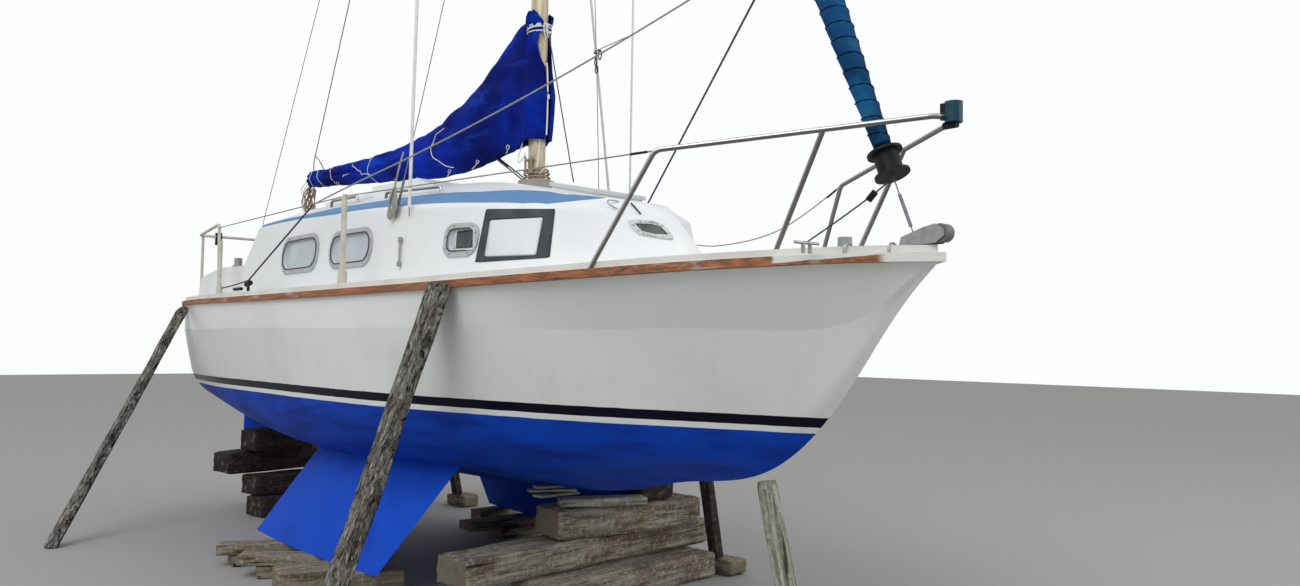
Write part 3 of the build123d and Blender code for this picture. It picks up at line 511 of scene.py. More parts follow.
def make_timbers():
    # Colours: light, dark, worn and lichen
    grey, dark, plank, pale = [timber_paint("timber_" + name, *colours) for name, colours in (
        ("grey", ((0.4, 0.36, 0.28), (0.1, 0.085, 0.06), (0.25, 0.15, 0.1), (0.5, 0.52, 0.46))),
        ("dark", ((0.065, 0.047, 0.04), (0.012, 0.01, 0.009), (0.13, 0.1, 0.09), (0.16, 0.14, 0.12))),
        ("plank", ((0.36, 0.31, 0.22), (0.12, 0.095, 0.06), (0.3, 0.3, 0.2), (0.46, 0.45, 0.38))),
        ("pale", ((0.46, 0.46, 0.38), (0.16, 0.16, 0.11), (0.54, 0.55, 0.48), (0.62, 0.62, 0.57))))]
    bark = bark_paint("prop_bark")
    for i, row in enumerate(STERN_STACK):
        timber(f"stern_timber_{i + 1}", row, dark, "stern_timbers", 3.0 + i)
    for i, row in enumerate(FORE_STACK):
        sawn = i == len(FORE_STACK) - 1
        wear = (0.006, 0.002) if sawn else (0.02, 0.008)
        timber(f"fore_timber_{i + 1}", row, pale if sawn else grey, "fore_timbers", 20.0 + i, *wear)
    for i, row in enumerate(KEEL_PLANKS):
        timber(f"keel_plank_{i + 1}", row, plank, "keel_planks", 40.0 + i, 0.007, 0.003)
    for i, (x, y, z, turn) in enumerate(FORE_BOARDS):
        row = (x, y, z, *BOARD_SIZE, turn)
        timber(f"fore_board_{i + 1}", row, pale, "fore_timbers", 30.0 + i, 0.002, 0.001)
    timber("stern_pad", (0.36, 0.03, 0.74, 0.19, 0.29, 0.12, 0.0), dark, "stern_timbers", 50.0)
    timber("fore_pad", (4.56, 0.56, 0.545, 0.235, 0.29, 0.18, 0.0), dark, "fore_timbers", 51.0)
    for side, node in ((1, "props_port"), (-1, "props_starboard")):
        foot, head = (1.06, side * 2.13, 0.0), (0.23, side * 1.04, 1.78)
        prop("aft_" + node, foot, head, 0.122, 0.07, bark, node, 60.0 + side)
    prop("mid_prop", (4.56, -1.64, 0.0), (4.77, -1.122, 1.83), 0.172, 0.074, bark, "props_starboard", 66.0)
    top = POST_BLOCK[2]
    # The port posts stand in the hull's shade and take the near-black timber paint: painted shade
    for i, (x, foot_y, head_y, head_z) in enumerate(PORT_POSTS):
        block = (x, foot_y + POST_BLOCK_OUT, 0.0, *POST_BLOCK, 3.0)
        timber(f"port_block_{i + 1}", block, plank, "props_port", 70.0 + i)
        head = (x, foot_y + (head_y - foot_y) * POST_SHARE, top + (head_z - top) * POST_SHARE)
        prop(f"port_post_{i + 1}", (x, foot_y, top), head, 0.085, 0.075, dark, "props_port", 75.0 + i, 0.004)
    prop("bow_post", (6.257, 0.06, 0.0), (6.101, -0.0135, 0.855), 0.11, 0.06, pale, "fore_post", 80.0, 0.004)


def timber_paint(name, light, dark, worn, lichen):
    # Weathered grain along each timber's own length, growth in patches, rings and splits on its ends
    s = Shader(name, rough=0.9, shine=0.25)
    grain = s.noise(1.0, 9.0, s.place((3.0, 46, 46)), rough=0.8)
    cracks = s.noise(1.0, 6.0, s.place((1.3, 20, 20)), twist=0.6)
    cloud = s.noise(2.6, 6.0, rough=0.7)
    speck = s.noise(34.0, 8.0, rough=0.8)
    _, y, z = s.axes()
    away = s.math("SQRT", s.plus(s.times(y, y), s.times(z, z)))
    waver = s.times(s.noise(9.0), 9.0)
    rings = s.math("SINE", s.plus(s.times(away, 560.0), waver))
    end = s.step(s.math("ABSOLUTE", s.axes(s.coords.outputs["Normal"])[0]), 0.7, 0.85)
    side = s.mix(s.step(grain, 0.38, 0.62), dark, light)
    patch = s.times(s.step(cloud, 0.52, 0.6), 0.7)
    side = s.mix(patch, side, s.mix(s.step(grain, 0.4, 0.6), dark, worn))
    side = s.mix(s.times(s.step(speck, 0.53, 0.6), 0.6), side, lichen)
    side = s.mix(s.times(s.step(speck, 0.44, 0.38), 0.75), side, dark)
    split = s.step(cracks, 0.38, 0.33)
    side = s.mix(s.times(split, 0.9), side, tuple(v * 0.25 for v in dark))
    sawn = s.mix(s.plus(s.times(rings, 0.2), 0.35), dark, light)
    sawn = s.mix(s.step(s.noise(16.0, 6.0), 0.5, 0.7), sawn, worn)
    s.set("Base Color", s.mix(end, side, sawn))
    height = s.plus(grain, s.times(speck, 0.6))
    s.bump(s.minus(height, s.times(split, 0.7)), 1.0, 0.008)
    return s.material


def bark_paint(name):
    # Cracked pale plates over a near-black base
    s = Shader(name, rough=0.92, shine=0.25)
    flow = s.place((9, 30, 30))
    plates = s.noise(1.0, 8.0, flow, rough=0.82, twist=1.6)
    fine = s.noise(3.4, 7.0, flow, rough=0.85)
    tone = s.mix(s.step(s.noise(5.0, 5.0), 0.4, 0.65), (0.46, 0.44, 0.39), (0.22, 0.185, 0.14))
    tone = s.mix(s.times(s.step(fine, 0.48, 0.58), 0.75), tone, (0.7, 0.7, 0.65))
    tone = s.mix(s.times(s.step(fine, 0.46, 0.38), 0.8), tone, (0.07, 0.06, 0.05))
    s.set("Base Color", s.mix(s.step(plates, 0.485, 0.445), tone, (0.016, 0.013, 0.011)))
    s.bump(s.plus(s.step(plates, 0.42, 0.56), s.times(fine, 0.5)), 1.0, 0.018)
    return s.material


def reach(outline, centre, turn):
    # Where a ray from the centre crosses a closed outline, in picture places
    ahead = Vector((math.cos(turn), math.sin(turn)))
    best = 0.0
    for start, end in zip(outline, outline[1:] + outline[:1]):
        a = Vector(start) - centre
        edge = Vector(end) - Vector(start)
        bottom = ahead.x * edge.y - ahead.y * edge.x
        if abs(bottom) < 1e-9:
            continue
        far = (a.x * edge.y - a.y * edge.x) / bottom
        share = (a.x * ahead.y - a.y * ahead.x) / bottom
        if far > best and -1e-6 <= share <= 1 + 1e-6:
            best = far
    return centre + ahead * best


def panel(name, tree, outer, inner, lift, sink, mat, count, rings):
    # A plate, or a frame where an inner outline is given, laid on a surface within outlines in the picture
    centre = sum((Vector(p) for p in outer), Vector((0, 0))) / len(outer)
    bm = bmesh.new()
    loops = []
    for step in range(rings + 1):
        share = step / rings
        loop = []
        for turn in turns(count):
            far = reach(outer, centre, turn)
            near = reach(inner, centre, turn) if inner else centre + (far - centre) * 0.02
            spot = near.lerp(far, share)
            loop.append(bm.verts.new(seen(tree, spot.x, spot.y, lift)))
        loops.append(loop)
    edges = [loops[-1]] + ([loops[0]] if inner else [])
    for edge in edges:
        low = [bm.verts.new(v.co + (tree.find_nearest(v.co)[0] - v.co).normalized() * sink) for v in edge]
        if edge is loops[-1]:
            loops.append(low)
        else:
            loops.insert(0, low)
    bridge(bm, loops)
    if not inner:
        bm.faces.new(loops[0])
    bmesh.ops.recalc_face_normals(bm, faces=bm.faces)
    put(name, settle(bm), mat, "boat")


def spread(table, x):
    # One row of a table with columns from its first, at a station between its rows
    for row, after in zip(table, table[1:]):
        if x <= after[0]:
            share = (x - row[0]) / (after[0] - row[0])
            ease = share * share * (3 - 2 * share) * 0.35 + share * 0.65
            return [a + (b - a) * ease for a, b in zip(row, after)]
    return list(table[-1])


# Stowed sail under its cover: x, bottom z, top z, half width
COVER = [
    (0.717, 2.916, 3.064, 0.078), (1.08, 2.893, 3.056, 0.087), (1.459, 2.868, 3.054, 0.096),
    (1.9, 2.833, 3.056, 0.106), (2.335, 2.8, 3.076, 0.116), (2.64, 2.776, 3.12, 0.121),
    (2.9, 2.764, 3.18, 0.124), (3.15, 2.766, 3.27, 0.123), (3.4, 2.784, 3.39, 0.118),
    (3.56, 2.808, 3.502, 0.109), (3.7, 2.832, 3.61, 0.104), (3.86, 2.856, 3.706, 0.098),
    (3.96, 2.87, 3.724, 0.092), (4.03, 2.874, 3.716, 0.084),
]
BOOM_PIN = (3.965, 0.0)
BOOM_REST = 2.0
MAST_AT = (4.05, 0.0)


def boom_place(x, y, z):
    # A place laid out along the boom's middle line, turned with the boom as it rests
    turn = math.radians(BOOM_REST)
    away, side = x - BOOM_PIN[0], y - BOOM_PIN[1]
    return at(
        BOOM_PIN[0] + away * math.cos(turn) - side * math.sin(turn),
        BOOM_PIN[1] + away * math.sin(turn) + side * math.cos(turn), z)


def make_cover(canvas):
    loops = []
    stations = 150
    first, last = COVER[0][0] + 0.004, COVER[-1][0] - 0.002
    for step in range(stations + 1):
        x = first + (last - first) * step / stations
        low, top, half = spread(COVER, x)[1:]
        tall = (top - low) / 2
        peaked = min(1.0, max(0.0, (x - 2.4) / 0.9)) * min(1.0, max(0.25, (4.03 - x) / 0.3))
        loop = []
        for turn in turns(64):
            rise = math.cos(turn)
            wide = half * math.sin(turn) * (1 - 0.38 * peaked * max(0.0, rise)) * 0.985
            # Creases run down and aft from the gathered top and along the bottom edge
            slant = x * 6.0 + rise * (2.6 if x > 2.6 else 1.2)
            crease = noise.noise(Vector((slant, math.sin(turn) * 1.5, rise * 1.3)))
            ridge = noise.noise(Vector((x * 3.3 + rise * 2.2 * peaked, rise * 1.1 - 4, math.sin(turn))))
            sag = 0.02 * crease - 0.026 * (1 - abs(ridge)) ** 4
            scale = 1 + sag / half
            place = Vector((x, wide * scale, (low + top) / 2 + tall * rise * (1 + sag * 0.35 / tall)))
            loop.append(boom_place(*place))
        loops.append(loop)
    cover = put("boom_cover", skin(loops), canvas, "boom")
    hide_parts("sail_cover")
    return cover


# Collar of the cover round the mast: z, radius along, radius across, half of the gap at the front in degrees
COLLAR = [
    (2.872, 0.104, 0.086, 10.0), (2.96, 0.114, 0.094, 6.0), (3.08, 0.128, 0.096, 5.0),
    (3.17, 0.138, 0.094, 5.0), (3.27, 0.112, 0.086, 5.0), (3.35, 0.096, 0.08, 8.0),
    (3.43, 0.092, 0.076, 34.0), (3.52, 0.09, 0.072, 52.0), (3.59, 0.084, 0.064, 44.0),
    (3.625, 0.08, 0.058, 16.0), (3.66, 0.094, 0.072, 24.0), (3.7, 0.1, 0.078, 44.0),
    (3.745, 0.086, 0.064, 70.0),
]


def make_collar(canvas):
    bm = bmesh.new()
    count = 72
    steps = 65
    rows = []
    for step in range(steps + 1):
        z = COLLAR[0][0] + (COLLAR[-1][0] - COLLAR[0][0]) * step / steps
        long, wide, gap = spread(COLLAR, z)[1:]
        start, end = math.radians(gap), math.tau - math.radians(gap)
        tight = min(1.0, max(0.0, (z - 3.42) / 0.18))
        row = []
        for i in range(count + 1):
            turn = start + (end - start) * i / count
            fold = math.sin(turn * 9 + z * 5) * 0.008 * tight
            fold += noise.noise(Vector((math.cos(turn) * 1.8, math.sin(turn) * 1.8, z * 3.2))) * 0.011
            drop = 0.03 * (1 - math.cos(turn)) / 2 if step == 0 else 0.0
            row.append(bm.verts.new(at(
                MAST_AT[0] + (long + fold) * math.cos(turn), (wide + fold) * math.sin(turn), z + drop)))
        rows.append(row)
    bridge(bm, rows, closed=False)
    bmesh.ops.recalc_face_normals(bm, faces=bm.faces)
    bmesh.ops.solidify(bm, geom=bm.faces[:], thickness=0.003)
    collar = new_object("mast_collar", settle(bm))
    collar.data.materials.append(canvas)
    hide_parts("sail_cover")
    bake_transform(collar)


def make_lacing(cover, white):
    # White cord over the cover, with loops round it and ties under its bottom edge
    tree = tree_of([cover])
    thin = 0.0026

    def on_cloth(place, radius):
        spot, normal = tree.find_nearest(place)[:2]
        return spot + normal * radius * 0.9

    def laid(radius, points):
        # Points by x and z on the starboard side, followed closely over the cloth
        run = []
        for (x0, z0), (x1, z1) in zip(points, points[1:]):
            for step in range(8):
                share = step / 8
                outside = boom_place(x0 + (x1 - x0) * share, -0.16, z0 + (z1 - z0) * share)
                run.append(on_cloth(outside, radius))
        return radius, run

    def hooped(x, lean):
        low, top, half = spread(COVER, x)[1:]
        run = []
        for i in range(0, 361, 12):
            turn = math.radians(i)
            z = (low + top) / 2 + (top - low) * 0.6 * math.cos(turn)
            outside = boom_place(x + lean * math.cos(turn), half * 1.3 * math.sin(turn), z)
            run.append(on_cloth(outside, thin))
        return thin, run

    runs = [hooped(0.79, -0.02), hooped(0.968, -0.039), hooped(1.232, -0.03), hooped(1.943, 0.014)]
    runs += [
        laid(0.0028, [(1.64, 3.044), (1.63, 2.99), (1.715, 2.925), (1.85, 2.88), (1.99, 2.84)]),
        laid(0.0024, [(1.58, 2.955), (1.51, 2.935), (1.48, 2.895)]),
        laid(0.0034, [
            (3.05, 3.15), (2.955, 3.075), (2.915, 3.012), (2.918, 2.94), (2.94, 2.874), (3.06, 2.77),
            (3.15, 2.69)]),
    ]
    for x, long in ((3.8, 0.06), (3.44, 0.11), (3.08, 0.07), (2.64, 0.05), (2.3, 0.05), (1.32, 0.045)):
        low = spread(COVER, x)[1]
        eye = boom_place(x, -0.045, low + 0.025)
        runs.append((0.003, [eye, boom_place(x - long, -0.03, spread(COVER, x - long)[1] - 0.004)]))
        runs.append((thin, [
            eye, boom_place(x - 0.02, -0.06, low + 0.05), boom_place(x - 0.035, -0.045, low + 0.01)]))
    lines("cover_lacing", runs, white, "boom")
    # The gathered neck is wound with cord and its ends hang down the mast
    wound = []
    for i in range(0, 1441, 15):
        turn = math.radians(i)
        wound.append(at(
            MAST_AT[0] + 0.093 * math.cos(turn), 0.071 * math.sin(turn),
            3.592 + 0.000045 * i + 0.008 * math.sin(turn * 0.7)))
    runs = [(0.005, wound)]
    for offset, fall in ((0.004, 0.05), (-0.014, 0.07), (0.014, 0.035)):
        runs.append((0.004, [
            at(4.132, offset, 3.63), at(4.15, offset - 0.016, 3.66), at(4.15, offset - 0.024, 3.61),
            at(4.138, offset + 0.006, 3.61 - fall)]))
    lines("neck_cord", runs, white)


def make_furled_sail(cloth, edge_cloth):
    # The rolled headsail: its cloth winds up the stay, each turn lapping the one below
    foot = at(6.953, 0, 2.0)
    run = at(4.12, 0, 9.077) - foot
    ahead = run.normalized()
    across = Vector((0, 1, 0))
    side = ahead.cross(across)

    def around(along, turn, wide):
        return foot + ahead * along + across * math.cos(turn) * wide + side * math.sin(turn) * wide

    roll = [
        (0.5, 0.044), (0.7, 0.052), (1.3, 0.069), (2.6, 0.084), (4.6, 0.074), (6.3, 0.04), (7.15, 0.016)]
    pitch = 0.086
    count = 24
    loops = []
    stations = 620
    for step in range(stations + 1):
        along = roll[0][0] + (roll[-1][0] - roll[0][0]) * step / stations
        radius = spread(roll, along)[1]
        loop = []
        for i, turn in enumerate(turns(count)):
            lap = (along / pitch + i / count) % 1.0
            fold = noise.noise(Vector((math.cos(turn) * 1.3, math.sin(turn) * 1.3, along * 5)))
            wide = radius * (0.9 + 0.09 * lap + 0.05 * fold)
            loop.append(around(along, turn, wide))
        loops.append(loop)
    seam = []
    steps = round((roll[-1][0] - roll[0][0]) / pitch * 20)
    for step in range(steps + 1):
        along = roll[0][0] + (roll[-1][0] - roll[0][0]) * step / steps
        turn = -math.tau * (along / pitch % 1.0)
        wide = spread(roll, along)[1] * 0.985
        seam.append(around(along, turn, wide))
    edge = lines("headsail_edge", [(0.0026, seam)], edge_cloth)
    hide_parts("furled_sail")
    sail = put("rolled_headsail", skin(loops), cloth, "boat")
    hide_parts("furled_sail")


def hung(start, end, sag):
    # Points of a line that sags between its ends
    shares = [i / 10 for i in range(11)]
    return [start.lerp(end, share) - Vector((0, 0, 4 * sag * share * (1 - share))) for share in shares]


def make_rigging(light, dark, white, brown, black):
    masthead = (3.985, 0, 10.5)
    fork = (0.748, -0.11, 3.206)
    # Headsail sheets, led aft outside the shrouds to their deck blocks
    bend = at(4.029, -0.95, 2.627)
    lines("headsail_sheets", [
        (0.005, hung(at(6.24, -0.03, 3.6), bend, 0.045)),
        (0.005, [bend, at(3.109, -1.0, 2.506), at(2.911, -1.03, 2.455)]),
    ], light)
    # Their tails, the lines beside the mast, the boom's topping lift and the furling line
    lines("sheet_tails", laid_out([
        (0.0062, [(2.911, -1.03, 2.455), (1.82, -1.05, 1.985)]),
        (0.005, [(1.82, -1.05, 1.985), (1.45, -1.03, 1.958), (1.13, -1.02, 1.948)]),
        (0.0062, [(6.21, 0.03, 3.68), (4.385, 0.7, 2.517)]),
        (0.0062, [(4.385, 0.7, 2.517), (3.9, 0.97, 2.43), (1.79, 1.05, 1.985)]),
        (0.005, [(1.82, 1.05, 1.985), (1.45, 1.03, 1.958), (1.13, 1.02, 1.948)]),
        (0.004, [(4.16, 0, 3.57), (4.455, 0, 2.56)]),
        (0.0026, [(3.9, 0.56, 4.42), (4.042, 0.5, 3.588), (4.15, 0.45, 2.6)]),
        (0.003, [(4.05, 0.5, 3.6), (3.995, 0.858, 3.8)]),
        (0.0042, [masthead, fork]),
        (0.0042, [fork, (0.7, -0.112, 3.13), (0.728, -0.1, 3.045)]),
        (0.0042, [fork, (0.86, -0.1, 3.14), (0.9, -0.09, 3.06)]),
        (0.005, [(3.5, -0.01, 2.87), (3.96, -0.02, 2.61)]),
        (0.005, [(3.5, 0.02, 2.87), (3.96, 0.02, 2.61)]),
        (0.004, [(6.859, -0.1, 2.269), (6.749, -0.1, 2.198), (6.4, -0.105, 2.03)]),
    ]), dark)
    # Clips and rings on the flag line
    rings = []
    for x, z, wide, high in (
            (4.042, 3.588, 0.035, 0.01), (4.075, 3.56, 0.018, 0.036), (4.03, 3.52, 0.012, 0.03),
            (4.04, 3.462, 0.016, 0.026)):
        rings.append((0.0042, [
            at(x + wide * math.cos(turn), 0.5, z + high * math.sin(turn)) for turn in turns(8, True)]))
    lines("flag_clips", rings, black)
    # Plastic tubes over the shrouds, where a sail would rub
    tubes = []
    for side in (-1, 1):
        foot = Vector((3.975, side * 0.88, 2.3))
        tip = Vector((4.02, side * 0.852, 6.93))
        tubes.append((0.0105 if side < 0 else 0.0075, [foot.lerp(tip, share) for share in (0.012, 0.5)]))
    inner = [Vector(p) for p in ((3.8, 0.88, 2.3), (4.02, 0.04, 6.84))]
    tubes.append((0.009, [inner[0].lerp(inner[1], share) for share in (0.062, 0.5)]))
    lines("shroud_tubes", laid_out(tubes), white)
    # Guard wires from the pulpit through the posts to the stern rail: the port one hangs slack
    lines("guard_wires", laid_out([
        (0.0038, [(5.985, -0.712, 2.446), (3.64, -1.14, 2.428)]),
        (0.0038, [(3.64, -1.14, 2.428), (1.1, -1.045, 2.44)]),
        (0.0038, [
            (5.99, 0.708, 2.446), (5.634, 0.8, 2.303), (5.297, 0.86, 2.22), (4.85, 0.93, 2.2),
            (4.605, 0.96, 2.222), (4.2, 1.04, 2.3), (3.64, 1.14, 2.425)]),
        (0.0038, [(3.64, 1.14, 2.425), (1.1, 1.045, 2.44)]),
    ]), light)
    lines("guard_wire_ends", laid_out([
        (0.0062, [(5.96, -0.7165, 2.446), (5.86, -0.735, 2.445)]),
        (0.0062, [(5.96, 0.716, 2.433), (5.88, 0.738, 2.4)]),
    ]), black)
    # Mainsheet under the boom's end, with its worn ends bunched
    runs = []
    for i in range(4):
        upper = boom_place(0.76 + 0.024 * i, 0.012 - 0.02 * i, 2.9)
        runs.append((0.005, [upper, at(0.64 + 0.05 * i, -0.12 + 0.03 * i, 2.1)]))
    falls("mainsheet", runs, brown)
    runs = []
    for i in range(26):
        sway = math.sin(i * 2.4)
        swing = math.cos(i * 1.7)
        runs.append((0.0034 + 0.0012 * swing, [
            at(0.69 + 0.02 * sway, -0.11 + 0.02 * swing, 3.0 - 0.006 * i),
            at(0.59 + 0.075 * swing, -0.125 + 0.04 * sway, 2.935 - 0.006 * i),
            at(0.6 + 0.11 * math.sin(i * 3.9), -0.11 + 0.045 * swing, 2.8 - 0.003 * i),
            at(0.655 + 0.135 * math.cos(i * 2.9), -0.11 + 0.05 * sway, 2.69 - 0.005 * i + 0.03 * swing)]))
    lines("sheet_bunch", runs, brown, body="boom")
    # White halyard down the front of the mast through the collar's gap, with its toggle
    lines("mast_cords", laid_out([
        (0.005, [(4.16, -0.012, 3.38), (4.19, -0.014, 3.17), (4.176, -0.016, 2.9)]),
        (0.008, [(4.192, -0.018, 3.165), (4.194, -0.018, 3.135)]),
        (0.0046, [(4.118, -0.03, 2.9), (4.124, -0.034, 2.64), (4.08, -0.06, 2.6)]),
        (0.0036, [
            (3.975, -0.058, 2.88), (3.93, -0.075, 2.77), (3.965, -0.08, 2.72), (4.0, -0.055, 2.8)]),
        (0.0036, [
            (4.24, -0.06, 2.68), (4.31, -0.09, 2.69), (4.29, -0.11, 2.65), (4.2, -0.08, 2.64)]),
    ]), white)
    # Coils of rope made up on the mast's cleats near its foot
    coils = []
    for i in range(5):
        side = -0.052 - 0.007 * (i % 2)
        drop = 0.012 * i
        coils.append((0.0048, [
            at(3.99 + 0.02 * i, side, 2.78 - drop), at(4.01 + 0.022 * i, side - 0.018, 2.7 - drop),
            at(4.05 + 0.016 * i, side - 0.022, 2.64 + 0.004 * i),
            at(4.092 - 0.004 * i, side - 0.012, 2.7 - drop), at(4.07, side - 0.004, 2.77 - drop)]))
    for z in (2.745, 2.665):
        coils.append((0.008, [at(4.0, -0.06, z), at(4.1, -0.06, z + 0.006)]))
    for wide, z in ((0.024, 2.603), (0.018, 2.626), (0.013, 2.652), (0.011, 2.676)):
        ring = []
        for turn in turns(16, True):
            sway = wide + 0.003 * math.sin(3 * turn + z * 90)
            x, y = (0.084 + sway) * math.cos(turn), (0.062 + sway) * math.sin(turn)
            ring.append(at(MAST_AT[0] + x, y, z + sway * 0.3))
        coils.append((0.0065, ring))
    lines("mast_coils", coils, brown)


def make_deck_gear(white, dark, steel, black, brown):
    roof = surface(*ROOF)
    # Hank of rope hung from the lower shroud
    hank = [(3.931, 2.695), (3.905, 2.65), (3.885, 2.617), (3.853, 2.547), (3.83, 2.495)]
    runs = [(0.006, [at(x, -0.905, z) for x, z in hank])]
    for i in range(5):
        out = 0.012 * (i - 2)
        runs.append((0.0056, [
            at(3.835, -0.905, 2.5), at(3.79 + out, -0.915 - out, 2.42),
            at(3.772 + out, -0.912, 2.32 + 0.008 * i), at(3.8 + out, -0.9, 2.286 + 0.01 * i),
            at(3.835 + out, -0.905, 2.34), at(3.842 + out * 0.6, -0.905, 2.44), at(3.838, -0.905, 2.5)]))
    lines("rope_hank", runs, brown)
    # Rods that hold the shrouds down, bolted on the cabin sides
    rods = []
    head = seen(roof, 402.3, 240.5, 0.016)
    foot = seen(roof, 400.9, 264.5, 0.016)
    for side in (-1, 1):
        rods.append((0.007, [Vector((p.x, -side * p.y, p.z)) for p in (head, foot)]))
        for p, long in ((head, 0.018), (foot, 0.014)):
            end = Vector((p.x, -side * p.y, p.z))
            rods.append((0.0125, [end + Vector((0, 0, long)), end - Vector((0, 0, long))]))
    lines("shroud_rods", rods, steel)
    # Loop handle and a rope's end on the coachroof's nose
    grip = [
        (619, 202.5, 0.004), (611, 203, 0.02), (609, 206.5, 0.028), (612, 209.5, 0.02), (618, 210, 0.004)]
    grip = [seen(roof, x, y, 0.004) + Vector((0, -0.6, 0.8)) * high for x, y, high in grip]
    lines("nose_handle", [(0.0036, grip)], steel)
    tail = [seen(roof, x, y, 0.006) for x, y in [(631, 204), (634, 207), (637.5, 211), (640.6, 214.6)]]
    lines("nose_rope", [(0.0048, tail)], dark)
    # Guard-rail posts' sleeves and feet, and the rope blocks
    lines("post_sleeves", both_sides([
        (0.017, [(3.64, 1.14, 1.905), (3.64, 1.14, 2.425)]),
        (0.028, [(3.64, 1.14, 1.885), (3.64, 1.138, 1.965)]),
        (0.016, [(1.15, 1.04, 1.88), (1.15, 1.04, 2.33)]),
        (0.025, [(1.15, 1.04, 1.88), (1.15, 1.038, 1.965)]),
    ]), white)
    blocks = both_sides([
        (0.02, [(1.86, 1.05, 1.965), (1.78, 1.05, 1.955)]),
        (0.011, [(1.82, 1.05, 1.9), (1.82, 1.05, 1.985)]),
        (0.013, [(1.7, 1.058, 1.925), (1.56, 1.062, 1.925)]),
    ])
    blocks += laid_out([
        (0.016, [(6.8, -0.1, 2.238), (6.765, -0.1, 2.205)]),
        (0.012, [(3.6, 0.0, 2.812), (3.7, 0.0, 2.756)]),
        (0.03, [(0.06, -0.7, 2.505), (0.06, -0.7, 2.395)]),
    ])
    lines("rope_blocks", blocks, black)
    # Deck cleats and fairleads near the bow
    horns = []
    for side in (-1, 1):
        ends = [at(6.667, side * 0.494, 1.992), at(6.685, side * 0.354, 1.992)]
        horns.append((0.007, ends))
        for share in (0.36, 0.64):
            foot = ends[0].lerp(ends[1], share)
            horns.append((0.009, [foot, foot - Vector((0, 0, 0.045))]))
    for x, y in ((6.76, -0.24), (6.9, -0.11)):
        arch = ((-0.03, 1.95), (-0.03, 1.99), (0.0, 2.004), (0.03, 1.99), (0.03, 1.95))
        horns.append((0.006, [at(x, y + across, z) for across, z in arch]))
    lines("deck_cleats", horns, steel)
    lines("lantern_bracket", laid_out([
        (0.017, [(7.092, -0.012, 2.53), (7.092, -0.012, 2.6)]),
        (0.016, [(7.085, 0, 2.506), (7.15, 0, 2.506)]),
    ]), black)


# Windows on each side: x, z, width, height, corner radius
WINDOWS = [
    (2.391, 2.162, 0.603, 0.2, 0.092), (3.232, 2.15, 0.548, 0.182, 0.084), (4.466, 2.128, 0.19, 0.12, 0.04)]
# Outlines in the picture: the small pane, the taped opening, and the long window on the nose
PANE_OUTER = [(456.2, 229.8), (475.0, 227.4), (475.2, 249.8), (454.4, 251.0)]
PANE_INNER = [(457.6, 231.6), (473.6, 229.4), (473.4, 247.9), (456.0, 249.0)]
TAPE_OUTER = [(486.4, 209.1), (555.3, 209.1), (549.7, 257.6), (475.3, 262.5)]
TAPE_INNER = [(490.4, 220.3), (543.3, 217.4), (536.2, 255.2), (484.7, 256.9)]
# The nose window's outlines in a part of the picture that starts at ZOOM_AT and is drawn ZOOM times as large
ZOOM_AT = (470, 160)
ZOOM = 6.272
NOSE_OUTER = [
    (990, 385), (1010, 380), (1060, 378), (1150, 385), (1210, 410), (1250, 450), (1280, 490), (1265, 503),
    (1170, 490), (1060, 470), (1015, 430)]
NOSE_INNER = [(1030, 400), (1140, 405), (1195, 420), (1245, 472), (1160, 468), (1080, 450)]


def rounded(x, z, width, height, radius, grow):
    # Points round a window's outline, grown outward
    radius += grow
    points = []
    for right, up, start in ((1, 1, 0), (-1, 1, 90), (-1, -1, 180), (1, -1, 270)):
        for i in range(7):
            turn = math.radians(start + 90 * i / 6)
            points.append((
                x + right * (width / 2 + grow - radius) + radius * math.cos(turn),
                z + up * (height / 2 + grow - radius) + radius * math.sin(turn)))
    return points


def make_window_parts(rubber, steel, frame_paint, dark_pane, tape, card):
    frames = surface("window_frames")
    roof = surface(*ROOF)
    seals = []
    screws = []
    for side in (-1, 1):
        inward = Vector((0, -side, 0))
        for window in WINDOWS:
            edge = [frames.ray_cast(at(x, side * 1.5, z), inward)[0] for x, z in rounded(*window, 0.0045)]
            edge = [p - inward * 0.001 for p in edge]
            seals.append((0.0042, edge + edge[:1]))
            for x, z in rounded(*window, 0.021)[1::3]:
                spot, normal = frames.ray_cast(at(x, side * 1.5, z), inward)[:2]
                screws.append((0.0065, [spot - normal * 0.002, spot + normal * 0.0022]))
    lines("window_seals", seals, rubber)
    # The small pane that lies within the third window, in its own thin frame
    wall = surface("coachroof", "window_frames", "window_panes")
    panel("small_pane_frame", wall, PANE_OUTER, PANE_INNER, 0.006, 0.008, frame_paint, 48, 2)
    panel("small_pane", wall, PANE_INNER, None, 0.003, 0.004, dark_pane, 48, 4)
    # An opening closed with a taped sheet
    panel("tape_border", roof, TAPE_OUTER, TAPE_INNER, 0.004, 0.006, tape, 96, 5)
    panel("taped_sheet", roof, TAPE_INNER, None, 0.003, 0.005, card, 96, 8)
    # The long window on the nose in its riveted frame
    outer, inner = [
        [(ZOOM_AT[0] + x / ZOOM, ZOOM_AT[1] + y / ZOOM) for x, y in edge]
        for edge in (NOSE_OUTER, NOSE_INNER)]
    panel("nose_window_frame", roof, outer, inner, 0.008, 0.01, frame_paint, 96, 4)
    panel("nose_window_pane", roof, inner, None, 0.004, 0.006, dark_pane, 72, 5)
    centre = sum((Vector(p) for p in outer), Vector((0, 0))) / len(outer)
    for i in range(16):
        turn = math.tau * (i + 0.5) / 16
        spot = reach(inner, centre, turn).lerp(reach(outer, centre, turn), 0.5)
        screws.append((0.006, [seen(roof, spot.x, spot.y, lift) for lift in (0.007, 0.0115)]))
    lines("window_screws", screws, steel)


